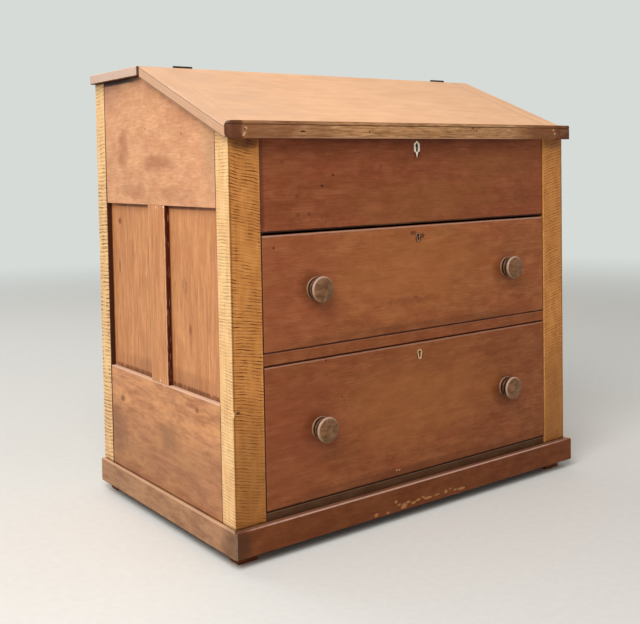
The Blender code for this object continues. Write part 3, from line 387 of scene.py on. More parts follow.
def wood(kind, colour, board, seed, marks=(), faces=(), lines=(), curl=None, curl_colour=None):
    """The material of one board, with its own marks and lines and differently coloured sides."""
    material, tree, shader = begin_material(f"{kind.label}, {board.name.replace('_', ' ')}")
    world = add(tree, "TexCoord").outputs["Object"]
    place = add(tree, "Mapping", {
        "Vector": world, "Location": -board.centre / MM, "Rotation": board.turn.to_euler(),
        "Scale": (1 / MM, 1 / MM, 1 / MM),
    })
    parts = add(tree, "SeparateXYZ", {0: place})

    pitch, wander, ringed = kind.rings
    patterns = [(growth_rings(tree, place, pitch, wander, seed), ringed)]
    for i, (length, width, strength) in enumerate(kind.figure):
        patterns.append((grain_noise(tree, place, length, width, seed + 1.7 * i, detail=3.0), strength))
    tone = 0.5 - sum(strength for _, strength in patterns) / 2
    for pattern, strength in patterns:
        tone = add(tree, "Math", {0: pattern, 1: strength, 2: tone}, operation="MULTIPLY_ADD")
    ground = add(
        tree, "Mix", {"Factor": tone, "A": tinted(colour, kind.deep), "B": tinted(colour, kind.pale)},
        data_type="RGBA",
    )
    layers = []
    for i, (length, width, amount, tint) in enumerate(kind.patches):
        patch = grain_noise(tree, place, length, width, seed + 2.3 * i + 0.7, detail=3.0, low=0.42, high=0.64)
        share = add(tree, "Math", {0: patch, 1: amount}, operation="MULTIPLY")
        layers.append((share, tinted(colour, tint)))
    for side in faces:
        facing = add(
            tree, "Math", {0: parts.outputs[side.axis], 1: side.sign}, operation="MULTIPLY"
        )
        edge = board.half["XYZ".index(side.axis)] / MM
        mask = add(tree, "MapRange", {
            "Value": facing, "From Min": edge - 1.2, "From Max": edge - 0.4, "To Max": side.amount,
        })
        own = add(
            tree, "Mix",
            {"Factor": tone, "A": tinted(side.colour, kind.deep), "B": tinted(side.colour, kind.pale)},
            data_type="RGBA",
        )
        layers.append((mask, own))
    if curl:
        stripes = curl_stripes(tree, place, board.half, curl, seed)
        layers.append((stripes, tinted(curl_colour)))
    flecks = grain_noise(tree, place, 9, 1.8, seed + 4.4, detail=1.0, low=0.66, high=0.74)
    faint = add(tree, "Math", {0: flecks, 1: kind.flecks}, operation="MULTIPLY")
    layers.append((faint, tinted(colour, (0.3, 0.22, 0.2))))
    scratches = grain_noise(tree, place, 26, 1.6, seed + 4.9, detail=1.0, low=0.62, high=0.72)
    rubbing = add(tree, "Math", {0: scratches, 1: kind.scuffs}, operation="MULTIPLY")
    layers.append((rubbing, tinted(colour, (1.6, 1.8, 2.0))))

    fray = grain_noise(tree, place, 14, 7, seed + 5.5, detail=3.0, low=0.2, high=0.8)
    nearness = edge_closeness(tree, place, board.half)
    width, strength = kind.wear
    rubbed = add(tree, "Math", {0: fray, 1: width * 1.6, 2: nearness}, operation="MULTIPLY_ADD")
    worn = add(tree, "MapRange", {"Value": rubbed, "From Min": 0, "From Max": width, "To Max": strength})
    layers.append((worn, tinted(colour, kind.worn)))
    layers += [
        (line_mask(tree, parts, board.half, line, fray), tinted(linear(line.colour))) for line in lines
    ]
    blots = grain_noise(tree, place, 60, 34, seed + 5.9, detail=3.0, low=0.2, high=0.8)
    for mark in marks:
        rim = blots if sorted(mark.reach)[1] > BROAD_MARK else fray
        layers.append((mark_mask(tree, world, mark, rim), tinted(linear(mark.colour))))

    clouds = patterns[-1][0]
    gloss = add(
        tree, "Math", {0: clouds, 1: 0.16, 2: kind.roughness - 0.08}, operation="MULTIPLY_ADD"
    )
    dulled = add(tree, "Math", {0: worn, 1: 0.12, 2: gloss}, operation="MULTIPLY_ADD")
    hollows = grain_noise(tree, place, 130, 55, seed + 6.6, detail=1.0, low=0.1, high=0.9)
    relief = 0.0
    for layer, height in ((hollows, 0.12), (patterns[1][0], 0.02), (patterns[2][0], 0.015),
                          (flecks, -0.05), (worn, -0.12)):
        relief = add(tree, "Math", {0: layer, 1: height, 2: relief}, operation="MULTIPLY_ADD")
    finish_surface(tree, shader, ground, layers, dulled, relief)
    shader.inputs["IOR"].default_value = 1.5
    shader.inputs["Specular IOR Level"].default_value = kind.gleam
    shader.inputs["Coat Weight"].default_value = kind.coat
    shader.inputs["Coat Roughness"].default_value = 0.32
    return material


# Curly maple under an old amber finish: stripes across the grain catch the eye first
CURLY_MAPLE = Wood(
    "Curly maple", deep=(0.74, 0.66, 0.56), pale=(1.2, 1.26, 1.36), rings=(9, 16, 0.08),
    figure=((180, 6, 0.3), (40, 1.3, 0.25), (70, 22, 0.5)), flecks=0, worn=(1.35, 1.7, 2.3),
    wear=(2.2, 0.6), roughness=0.45, gleam=0.16,
    patches=((45, 12, 0.3, (0.78, 0.66, 0.5)), (12, 34, 0.3, (0.78, 0.64, 0.46)),
             (26, 20, 0.3, (1.14, 1.2, 1.24))),
)
# Sun-faded cherry, planed by hand: soft clouds across the grain, with faint streaks along it
FADED_CHERRY = Wood(
    "Faded cherry", deep=(0.72, 0.62, 0.54), pale=(1.2, 1.26, 1.32), rings=(9, 22, 0.06),
    figure=((120, 5, 0.14), (40, 1.3, 0.18), (42, 28, 0.35), (120, 90, 0.4)), flecks=0.35,
    worn=(1.3, 1.45, 1.6), wear=(2.0, 0.5), roughness=0.5, gleam=0.16, scuffs=0.3,
    patches=((16, 44, 0.25, (1.14, 1.18, 1.16)), (60, 34, 0.5, (1.06, 1.16, 1.06)),
             (34, 22, 0.4, (0.74, 0.62, 0.52)), (22, 4, 0.3, (0.62, 0.46, 0.36))),
)
# The same cherry cut for panels: narrow upright streaks, red beside yellow
STREAKED_CHERRY = FADED_CHERRY._replace(
    label="Streaked cherry", deep=(0.64, 0.52, 0.44), pale=(1.26, 1.32, 1.38), rings=(7, 14, 0.15),
    figure=((150, 4, 0.4), (60, 1.5, 0.3), (60, 30, 0.35)),
    patches=((110, 9, 0.8, (1.14, 1.18, 1.0)), (70, 3.5, 0.8, (0.68, 0.5, 0.38)),
             (70, 24, 0.5, (0.82, 0.66, 0.58)), (90, 12, 0.5, (1.14, 1.06, 1.12)),
             (24, 20, 0.3, (0.8, 0.7, 0.62))),
)
# Cherry low on the sides, knocked and splashed: yellow beside red, with darker stains
WORN_CHERRY = FADED_CHERRY._replace(
    label="Worn cherry",
    patches=((90, 30, 0.8, (1.14, 1.22, 0.98)), (60, 24, 0.8, (0.62, 0.5, 0.44)),
             (20, 9, 0.5, (0.6, 0.5, 0.45)), (70, 10, 0.7, (1.2, 1.18, 1.1))),
)
# Cherry of the lid, on a long clean board: pale and smooth
LID_CHERRY = Wood(
    "Cherry of the lid", deep=(0.86, 0.78, 0.7), pale=(1.1, 1.14, 1.2), rings=(12, 20, 0.08),
    figure=((200, 4, 0.25), (60, 1.5, 0.2), (75, 28, 0.4)), flecks=0.2, worn=(1.1, 1.25, 1.4),
    wear=(1.8, 0.8), roughness=0.55, coat=0.0, gleam=0.13, scuffs=0.2,
    patches=((60, 16, 0.4, (0.86, 0.78, 0.7)), (90, 30, 0.35, (1.08, 1.12, 1.08))),
)
# Cherry under a red-brown stain: nearly plain, with faint clouds and a few dark flecks
STAINED_CHERRY = Wood(
    "Stained cherry", deep=(0.74, 0.66, 0.6), pale=(1.22, 1.29, 1.34), rings=(10, 18, 0.04),
    figure=((160, 5, 0.07), (45, 1.4, 0.09), (52, 28, 0.55), (170, 90, 0.5)), flecks=0.5,
    worn=(1.5, 1.9, 2.4), wear=(1.4, 0.4), roughness=0.48, gleam=0.1, coat=0.01, scuffs=0.35,
    patches=((130, 44, 0.6, (1.04, 1.18, 1.02)), (90, 36, 0.6, (1.12, 0.94, 0.98)),
             (60, 16, 0.75, (1.32, 1.46, 1.56)), (30, 18, 0.55, (0.76, 0.68, 0.6)),
             (44, 1.8, 0.4, (0.6, 0.48, 0.42))),
)
# Cherry rubbed by sleeves and hands: long greasy streaks and pale scuffs
HANDLED_CHERRY = STAINED_CHERRY._replace(
    label="Handled cherry", deep=(0.55, 0.46, 0.4), pale=(1.3, 1.35, 1.4),
    figure=((60, 2.6, 0.55), (24, 1.2, 0.4), (36, 9, 0.6)), flecks=0.6, wear=(1.0, 0.3),
    patches=((50, 8, 0.5, (1.1, 0.92, 0.76)), (34, 3, 0.5, (1.2, 1.24, 1.3)),
             (30, 2.2, 0.8, (0.44, 0.34, 0.26))),
)
# Pine, sawn and planed, never finished: strong orange rings and a dull surface
RAW_PINE = Wood(
    "Raw pine", deep=(0.72, 0.58, 0.42), pale=(1.15, 1.2, 1.25), rings=(6, 16, 0.7),
    figure=((180, 6, 0.25), (40, 1.2, 0.2), (90, 40, 0.25)), flecks=0.1, worn=(1.2, 1.2, 1.2),
    wear=(1.5, 0.2), roughness=0.7, coat=0.0, gleam=0.13,
)


# Each row is one mark on a face: its place along the face, its height, its reach along and up, and then
# its colour, amount, raggedness and softness. The operators add what shorter rows leave open.
DRAWER_KNOCKS = {
    "upper": (
        (-0.382, 0.607, 0.0035, 0.004, GRIME_AND_SHADE, 0.7, 0.8, 0.7),
        (-0.014, 0.616, 0.013, 0.006, "#43160A", 0.75, 1.4, 0.9),
        (0.013, 0.609, 0.006, 0.009, "#43160A", 0.7, 1.4, 0.9),
        (0.066, 0.612, 0.02, 0.01, "#8A5C34", 0.6, 1.6, 0.9),
        (-0.0093, 0.4753, 0.0032, 0.003, GRIME_AND_SHADE, 0.8, 0.6, 0.6),
        (0.003, 0.4765, 0.0026, 0.0022, "#C08A58", 0.7, 0.6, 0.6),
        (-0.02, 0.47, 0.09, 0.012, "#7A4226", 0.5, 1.6, 0.9),
    ),
    "lower": (
        (-0.2185, 0.288, 0.0022, 0.0022, SOOT_AND_SHADE, 0.8, 0.4, 0.6),
        (-0.214, 0.281, 0.0022, 0.0022, SOOT_AND_SHADE, 0.8, 0.4, 0.6),
        (-0.259, 0.370, 0.0026, 0.0026, SOOT_AND_SHADE, 0.8, 0.4, 0.6),
        (-0.0716, 0.1046, 0.0024, 0.0018, "#E0B488", 0.9, 0.6, 0.5),
        (-0.0640, 0.1036, 0.0024, 0.0018, "#E0B488", 0.9, 0.6, 0.5),
    ),
}
POST_KNOCK = (
    (-0.4727, 0.2986, 0.006, 0.0035, SOOT_AND_SHADE, 0.8, 0.8, 0.6),
    (-0.483, 0.296, 0.003, 0.007, "#F2CE96", 0.8, 0.8, 0.6),
)
TOP_RAIL_STAINS = (
    (0.12, 0.72, 0.07, 0.022), (-0.08, 0.71, 0.08, 0.022), (0.17, 0.80, 0.03, 0.06), (0.0, 0.775, 0.1, 0.022),
)
TOP_RAIL_HOLES = ((0.0568, 0.8518), (-0.1036, 0.835))
BOTTOM_RAIL_KNOTS = (
    (0.2039, 0.2367, 0.013, 0.009, "#5E2E16", 0.7, 0.9, 0.8),
    (-0.1431, 0.2757, 0.009, 0.007, "#5E2E16", 0.7, 0.9, 0.8),
    (-0.0145, 0.19, 0.046, 0.046, "#5E4632", 0.4, 1.3, 0.98),
    (0.235, 0.17, 0.07, 0.08, "#7A4E38", 0.6, 0.9, 0.98),
)
WELL_GLOW = (
    (0.02, 0.685, 0.26, 0.06, "#8E5A30", 0.4, 1.4, 0.95),
    (0.24, 0.76, 0.14, 0.05, "#8E5A30", 0.35, 1.4, 0.95),
)
WELL_DENTS = ((-0.2609, 0.7248, 0.0036), (-0.2324, 0.7465, 0.0034))
WELL_SMUDGES = (
    (-0.3579, 0.7744, 0.004), (-0.3233, 0.7067, 0.0065), (-0.3217, 0.669, 0.0075), (-0.2947, 0.6697, 0.0065),
    (-0.2623, 0.6602, 0.004), (-0.105, 0.762, 0.0045),
)
LIP_DENTS = (
    (-0.3247, 0.8332, 0.0075, 0.0022, SOOT_AND_SHADE, 0.85, 0.5),
    (0.1474, 0.8438, 0.006, 0.0016, SOOT_AND_SHADE, 0.8, 0.5),
)
PLINTH_CHIPS = (
    (-0.0919, 0.0442, 0.0045, 0.004), (-0.068, 0.031, 0.011, 0.006), (-0.148, 0.028, 0.007, 0.004),
    (-0.041, 0.031, 0.008, 0.0035), (0.0, 0.0325, 0.013, 0.0032), (0.0565, 0.0335, 0.0055, 0.0045),
    (0.105, 0.0305, 0.014, 0.003), (-0.115, 0.026, 0.006, 0.003), (-0.083, 0.036, 0.006, 0.003),
    (-0.056, 0.0365, 0.006, 0.003), (-0.027, 0.0345, 0.009, 0.003), (-0.013, 0.037, 0.005, 0.0025),
    (0.028, 0.0335, 0.009, 0.0025), (0.071, 0.038, 0.007, 0.003), (0.085, 0.0325, 0.007, 0.0025),
)


def dress(names, kind, colour, along, across, seed, **more):
    """Gives each of these nodes its own board's material."""
    for i, name in enumerate(names):
        board = Board(name, along, across)
        material = wood(kind, colour, board, seed + 11.3 * i, **more)
        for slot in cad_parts[name].material_slots:
            slot.material = material


def bar(low, high, colour, **more):
    """A mark that fills the box between two corners."""
    low, high = Vector(low), Vector(high)
    more = {"corners": 8.0, "ragged": 0.3, "soft": 0.3, **more}
    return Mark(tuple((low + high) / 2), tuple((high - low) / 2), colour, **more)


def belt(box, bottom, top, colour, beside=SKIN, back=None, **more):
    """A bar round a piece between two heights, from its front to this depth or else past its back."""
    low, high = box
    back = high.y + SKIN if back is None else back
    return bar((low.x - beside, low.y - SKIN, bottom), (high.x + beside, back, top), colour, **more)


def front_bar(face, left, right, bottom, top, colour, deep=SKIN, **more):
    """A bar on a face that looks forward."""
    return bar((left, face - deep, bottom), (right, face + deep, top), colour, **more)


def side_bar(face, front, rear, bottom, top, colour, deep=0.03, **more):
    """A bar on a side of the case."""
    return bar((face - deep, front, bottom), (face + deep, rear, top), colour, **more)


def spots(face, rows, deep=SKIN, on_side=False):
    """Marks on a forward face or on a side of the case, from full rows of the kind above."""
    marks = []
    for along, height, wide, tall, *looks in rows:
        place = (face, along, height) if on_side else (along, face, height)
        reach = (deep, wide, tall) if on_side else (wide, deep, tall)
        marks.append(Mark(place, reach, *looks))
    return marks


class DressOperator:
    """What the operators of the pieces share."""

    bl_options = {"REGISTER", "UNDO"}

    @property
    def woods(self):
        return bpy.context.scene.desk_chest_woods

    @property
    def fittings(self):
        return bpy.context.scene.desk_chest_fittings


class DESKCHEST_OT_posts(DressOperator, bpy.types.Operator):
    """Finishes the four corner posts in curly maple"""

    bl_idname = "desk_chest.posts"
    bl_label = "Corner posts"

    def execute(self, context):
        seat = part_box("plinth_front")[1].z + SEAT_SHADE
        for i, (word, side) in enumerate(SIDES):
            # The posts' outer sides take the paler maple colour: painted light and sheen
            outer = Side("Y", side, self.woods.lit_side_maple)
            self.front_post(f"front_{word}_post", i, outer, seat)
            self.rear_post(f"rear_{word}_post", i, outer, seat)
        return {"FINISHED"}

    def front_post(self, name, i, outer, seat, face_depth=0.003):
        """Painted shade under the lip, at the foot over the plinth and along the outer arris."""
        low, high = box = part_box(name)
        front, outside = low.y, (low if outer.sign < 0 else high).x
        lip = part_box("lid_lip")[0].z
        marks = [
            # Painted shadow under the lip
            belt(box, lip - 0.022, lip + 0.03, "#4A1E12", back=front + face_depth, amount=(0.85, 0.4)[i],
                 soft=0.7, corners=4, ragged=1.2),
            # Painted shade on the front face along the outer arris
            bar((outside - 0.0045, front - 0.002, 0.05), (outside + 0.0045, front + 0.0012, high.z),
                "#5E3A12", amount=0.55, soft=0.4),
            belt(box, -0.3, 0.36, "#7E4C1C", beside=2 * SKIN, back=front + face_depth, amount=0.7, soft=0.95,
                 corners=3),
            # Painted shade over the plinth
            belt(box, 0.05, seat, SOOT_AND_SHADE, amount=0.8),
        ]
        curl = Curl(pitch=6.8, slant=-0.26, dash=11, strength=0.85, on_sides=0.4)
        if outer.sign < 0:
            marks += spots(front, POST_KNOCK, deep=0.004)
            curl = Curl(strength=1.1, on_sides=0.55)
        dress([name], CURLY_MAPLE, self.woods.maple, Z, X, 1.0 + 20 * i, marks=marks, faces=(outer,),
              lines=[Line("Z", 1, 0, 1.0, GRIME_AND_SHADE, 0.7)], curl=curl, curl_colour=self.woods.curl)

    def rear_post(self, name, i, outer, seat):
        """Paler at the top and behind, with painted shade under the ledge, over the plinth and on its front
        face in the side frame's recess, and dark where the side frame meets it.
        """
        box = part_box(name)
        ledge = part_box("top_board")[0].z
        marks = [
            belt(box, 0.68, 1.1, "#FCCB90", amount=0.5, soft=0.5, corners=4),
            # Painted shadow under the ledge
            belt(box, ledge - 0.006, ledge + 0.01, SOOT_AND_SHADE, amount=0.7, soft=0.6, corners=4),
            # Painted shade over the plinth
            belt(box, 0.05, seat, SOOT_AND_SHADE, back=box[1].y - 0.004, amount=0.8),
        ]
        # Its back face takes some of the lit side colour; its front face, seen in the side frame's recess, is
        # painted dark as shade
        faces = (outer, Side("Z", 1, self.woods.lit_side_maple, 0.7), Side("Z", -1, linear("#4A1A0C")))
        curl = Curl(pitch=9, slant=0.3, lean=0.1, strength=0.7, on_sides=1.6)
        dress([name], CURLY_MAPLE, self.woods.maple, Z, X, 5.0 + 20 * i, marks=marks, faces=faces,
              lines=[Line("Z", -1, 0, 1.0, GRIME_AND_SHADE, 0.7)], curl=curl, curl_colour=self.woods.curl)


class DESKCHEST_OT_sides(DressOperator, bpy.types.Operator):
    """Finishes the frames and panels of both sides"""

    bl_idname = "desk_chest.sides"
    bl_label = "Side frames"

    def execute(self, context):
        for word, side in SIDES:
            outer = (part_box(f"{word}_side_top_rail")[0 if side < 0 else 1]).x
            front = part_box(f"front_{word}_post")[1].y
            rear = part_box(f"rear_{word}_post")[0].y
            seams = [
                side_bar(outer, y - 0.003, y + 0.003, 0, 1, GRIME_AND_SHADE, amount=0.9, ragged=0.8)
                for y in (front, rear)
            ]
            self.top_rail(word, side, outer, front, rear, seams)
            self.bottom_rail(word, side, outer, front, rear, seams)
            self.muntin(word, side, outer)
            self.panels(word, side, outer, front, rear)
        return {"FINISHED"}

    def top_rail(self, word, side, outer, front, rear, seams, deep=0.02):
        """Greyed at the front and at the back, with stains and nail holes, and painted shadow under the
        ledge.
        """
        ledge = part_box("top_board")[0]
        greyed = (
            (front, 0.8, 0.06, 0.11, "#9C8468", 0.35, 0.5, 0.9),
            (rear, ledge.z, 0.11, 0.08, "#9A6A58", 0.5, 0.5, 0.9),
        )
        stains = [(*place, "#8E5230", 0.4, 1.3, 0.95) for place in TOP_RAIL_STAINS]
        holes = [(*place, 0.0026, 0.0026, SOOT_AND_SHADE, 0.9, 0.2) for place in TOP_RAIL_HOLES]
        if side > 0:
            stains, holes = [], []
        marks = [
            *spots(outer, (*greyed, *stains), deep, on_side=True),
            # Painted shadow of the ledge on the rail's top
            side_bar(outer, ledge.y - 0.003, 0.4, ledge.z - 0.011, ledge.z + 0.011, SOOT_AND_SHADE, deep=SKIN,
                     amount=0.95, soft=0.45, corners=4),
            *spots(outer, holes, on_side=True),
            *seams,
        ]
        dress([f"{word}_side_top_rail"], FADED_CHERRY, self.woods.side_cherry, Y, Z, 20.0 + side, marks=marks)

    def bottom_rail(self, word, side, outer, front, rear, seams, past=1.0):
        """Knotted, darker towards the floor, with painted shade over the plinth, and chipped along its top.
        """
        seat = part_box("plinth_front")[1].z + SEAT_SHADE
        marks = [
            *spots(outer, BOTTOM_RAIL_KNOTS if side < 0 else (), 0.02, on_side=True),
            side_bar(outer, front - past, rear + past, -0.1, 0.24, "#8E5F42", amount=0.5, soft=0.95,
                     corners=3),
            # Painted shade over the plinth
            side_bar(outer, front - past, rear + past, 0.02, seat, SOOT_AND_SHADE, amount=0.8),
            *seams,
        ]
        dress([f"{word}_side_bottom_rail"], WORN_CHERRY, self.woods.low_cherry, Y, Z, 24.0 + side,
              marks=marks, lines=[Line("Y", 1, 0, 2.0, "#E3BFA4", 0.75)])

    def muntin(self, word, side, outer, flake="#FFF0DC"):
        """Pale along its arrises, with flakes of its finish gone at both ends, and painted shade on its front
        and back faces.
        """
        low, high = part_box(f"{word}_muntin")
        top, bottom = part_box(f"{word}_side_top_rail")[0].z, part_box(f"{word}_side_bottom_rail")[1].z
        middle = (low.y + high.y) / 2
        flaked = (
            (middle, top - 0.005, 0.0016, 0.005, flake, 0.9, 0.8),
            (low.y + 0.004, top - 0.003, 0.003, 0.0022, flake, 0.8, 0.8),
            (middle - 0.003, bottom + 0.006, 0.0015, 0.004, flake, 0.8, 0.8),
        ) if side < 0 else ()
        lines = [Line("X", sign, 0, 1.4, GRIME_AND_SHADE, 0.7) for sign in (-1, 1)]
        lines += [Line("Y", -1, 1.2, 2.8, "#F4D0B2", 0.65), Line("Y", 1, 1.2, 2.4, "#EBC4A4", 0.4)]
        # Its front and back faces, seen in the side's recesses, are painted dark as shade
        dress([f"{word}_muntin"], STREAKED_CHERRY, self.woods.panel_cherry, Z, Y, 30.0 + side,
              faces=[Side("Y", sign, linear("#4A1608")) for sign in (-1, 1)],
              marks=spots(outer, flaked, on_side=True), lines=lines)

    def panels(self, word, side, outer, front, rear, shade="#4A1C0E", blotch="#6E3618"):
        """Painted shade along their top and side edges and grime along their bottom, with blotches and a
        strip of painted shade beside the muntin.
        """
        low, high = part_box(f"{word}_muntin")
        top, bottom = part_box(f"{word}_side_top_rail")[0].z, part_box(f"{word}_side_bottom_rail")[1].z
        sunk = 0.0178  # reach that just takes in the panels' sunk faces
        back_width, front_width = rear - high.y, low.y - front
        blotches = (
            (rear - 0.21 * back_width, 0.646, 0.012, 0.012, blotch, 0.85, 1.2, 0.7),
            (rear - 0.18 * back_width, 0.542, 0.007, 0.028, blotch, 0.75, 1.2, 0.7),
            (rear - 0.95 * back_width, 0.412, 0.0035, 0.007, SOOT_AND_SHADE, 0.7, 1.2, 0.7),
            (low.y - 0.29 * front_width, 0.52, 0.014, 0.028, blotch, 0.7, 1.2, 0.7),
            (low.y - 0.38 * front_width, 0.434, 0.010, 0.018, blotch, 0.7, 1.2, 0.7),
        ) if side < 0 else ()
        marks = [
            # Painted shadow under the top rail
            side_bar(outer, front, rear, top - 0.008, top + 0.03, shade, amount=0.85, soft=0.5, corners=10,
                     ragged=0.6),
            side_bar(outer, front, rear, bottom - 0.02, bottom + 0.011, shade, deep=sunk, amount=0.75,
                     soft=0.5, ragged=1.8),
            # Painted shadow of the muntin on the rear panel
            side_bar(outer, high.y - 0.01, high.y + 0.028, 0.38, 0.68, "#84462A", amount=0.65, soft=0.9,
                     corners=3, ragged=0.9),
            *spots(outer, blotches, sunk, on_side=True),
            # Painted shade along the edges beside the posts and the muntin
            *(side_bar(outer, y - 0.0035, y + 0.0035, 0, 1, shade, amount=0.7, soft=0.8)
              for y in (front, low.y, high.y, rear)),
            side_bar(outer, front, rear, 0.26, 0.35, "#7A4A30", amount=0.35, soft=0.95, corners=4,
                     ragged=0.5),
        ]
        names = [f"{word}_front_panel", f"{word}_rear_panel"]
        dress(names, STREAKED_CHERRY, self.woods.panel_cherry, Z, Y, 40.0 + side, marks=marks)


class DESKCHEST_OT_fronts(DressOperator, bpy.types.Operator):
    """Finishes the well front, the drawer fronts and the rails between them"""

    bl_idname = "desk_chest.fronts"
    bl_label = "Fronts and rails"

    def execute(self, context):
        woods = self.woods
        self.well_front()
        self.drawer_front("upper", woods.front_cherry, 53.0, dust=0.85)
        self.drawer_front("lower", woods.low_front, 58.0, dust=0.45)
        dress(["drawer_rail"], STAINED_CHERRY, woods.low_front, X, Z, 63.0,
              lines=[Line("Y", 1, 1.2, 3.0, RUBBED_RIM, 0.3), Line("Y", 1, 0, 1.2, GAP, 0.8),
                     Line("Y", -1, 0, 2.6, GAP, 0.95)])
        dress(["bottom_rail"], STAINED_CHERRY, woods.dark_cherry, X, Z, 66.0,
              lines=[Line("Y", 1, 0, 2.0, SOOT_AND_SHADE, 0.9), Line("Y", 1, 2.4, 3.8, "#8A6E4E", 0.5)])
        return {"FINISHED"}

    def well_front(self, plate_half=0.0098):
        """Painted shade under the lip and beside the left post, with dents, smudges and grime round the
        plate, and painted shade and grime along its bottom edge.
        """
        low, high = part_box("well_front")
        face, post, lip = low.y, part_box("front_right_post")[0].x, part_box("lid_lip")[0].z
        plate_low, plate_high = (corner.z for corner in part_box("bone_escutcheon"))
        marks = [
            # Painted shadow under the lip
            front_bar(face, low.x, high.x, lip - 0.012, lip + 0.05, "#35181A", amount=0.55, soft=0.8,
                      corners=4),
            # Painted shade beside the left post
            front_bar(face, -post - 0.012, -post + 0.012, 0.5, 0.9, "#4E2426", amount=0.5, soft=0.7,
                      corners=4),
            front_bar(face, -plate_half, plate_half, plate_low - 0.0015, plate_high + 0.0022, SOOT_AND_SHADE,
                      amount=0.6, soft=0.4, corners=4),
            *spots(face, WELL_GLOW, 0.05),
            *spots(face, [(x, z, size, size, SOOT_AND_SHADE, 0.9, 0.6, 0.6) for x, z, size in WELL_DENTS]),
            *spots(face, [(x, z, size, size * 0.8, "#54291A", 0.6, 0.8, 0.9) for x, z, size in WELL_SMUDGES]),
            *(front_bar(face, x - 0.0022, x + 0.0022, 0.5, 0.9, SOOT_AND_SHADE, amount=0.85) for x in (-post, post)),
        ]
        # The line along the bottom edge is painted shade and grime over the drawer
        dress(["well_front"], STAINED_CHERRY, self.woods.well_cherry, X, Z, 50.0, marks=marks,
              lines=[Line("Y", -1, 0, 3.2, SOOT_AND_SHADE, 0.9)])

    def drawer_front(self, word, colour, seed, dust):
        """Red at the left, brighter in the middle, with grime and painted shade round the knobs, and grime
        round the keyhole.
        """
        low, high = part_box(f"{word}_drawer_front")
        face, middle = low.y, (low.z + high.z) / 2
        tones = (
            (0.0, middle + 0.02, 0.3, 0.12, "#AC6C3A", 0.4, 0.9, 0.95),
            (-0.34, middle, 0.15, 0.15, "#8E4430", 0.3, 0.9, 0.95),
        )
        # Grime from handling and painted shade round each knob, reaching down and to the left
        handled_and_shaded = []
        for name, _ in SIDES:
            left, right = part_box(f"{word}_drawer_{name}_knob")
            place = ((left.x + right.x) / 2 - 0.008, (left.z + right.z) / 2 - 0.004)
            handled_and_shaded.append((*place, 0.042, 0.042, "#54240F", 0.5, 0.8, 0.95))
        rest = Vector((0, face, high.z - KEY_UNDER_EDGE - KEY_DROP / 3))
        reach = Vector((KEYHOLE_SHADE, SKIN, KEY_DROP))
        marks = [
            *spots(face, tones, 0.05),
            bar((low.x, face - 0.002, low.z - 0.004), (high.x, face + 0.004, low.z + 0.02), "#4E2A1A",
                amount=0.35, soft=0.9, corners=4),
            *spots(face, handled_and_shaded, 0.02),
            bar(rest - reach, rest + reach, SOOT_AND_SHADE, amount=0.8, soft=0.5, corners=3, ragged=0.8),
            *spots(face, DRAWER_KNOCKS[word]),
        ]
        lines = [
            Line("Y", 1, 0.5, 3.2, DUSTY_ARRIS, dust),
            *(Line("X", sign, 1.8, 3.4, RUBBED_RIM, 0.3) for sign in (-1, 1)),
            *(Line("X", sign, 0, 2.0, GAP, 0.9) for sign in (-1, 1)),
            Line("Y", -1, 0, 2.4, GAP, 0.9),
        ]
        dress([f"{word}_drawer_front"], STAINED_CHERRY, colour, X, Z, seed, marks=marks, lines=lines)


class DESKCHEST_OT_plinth(DressOperator, bpy.types.Operator):
    """Finishes the plinth and the four feet"""

    bl_idname = "desk_chest.plinth"
    bl_label = "Plinth and feet"

    def execute(self, context):
        woods = self.woods
        low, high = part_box("plinth_front")
        knocked = [
            Mark((low.x, low.y, 0.04), (0.045, 0.06, 0.06), "#4E3220", 0.6, 0.9, 0.95),
            bar((low.x - 0.003, low.y - 0.003, low.z), (low.x + 0.003, low.y + 0.003, high.z + 0.002),
                "#A8927C", amount=0.5, ragged=1.8),
        ]
        marks = [
            front_bar(low.y, low.x - 0.01, low.x + 0.034, low.z, high.z, GRIME_AND_SHADE, amount=0.45, soft=0.6,
                      corners=4),
            front_bar(low.y, low.x, high.x, high.z - 0.0024, high.z + 0.0024, "#BC9888", deep=0.0035,
                      amount=0.85, ragged=0.7),
            *spots(low.y, [(*chip, "#B07A4C", 0.8, 2.0, 0.5) for chip in PLINTH_CHIPS]),
            *knocked,
        ]
        dress(["plinth_front"], STAINED_CHERRY, woods.plinth_cherry, X, Z, 70.0, marks=marks,
              faces=[Side("Y", 1, linear("#7A4E38"))], lines=[Line("Y", -1, 0, 1.6, GRIME_AND_SHADE, 0.7)])
        dress(["plinth_left", "plinth_right"], WORN_CHERRY, woods.plinth_side, Y, Z, 73.0, marks=knocked,
              lines=[Line("Y", -1, 0, 3.0, GRIME_AND_SHADE, 0.7), Line("Y", 1, 0, 1.4, "#D8B08E", 0.6)])
        feet = [f"{row}_{word}_foot" for word, _ in SIDES for row in ("front", "rear")]
        dress(feet, STAINED_CHERRY, woods.plinth_cherry, X, Z, 76.0)
        return {"FINISHED"}


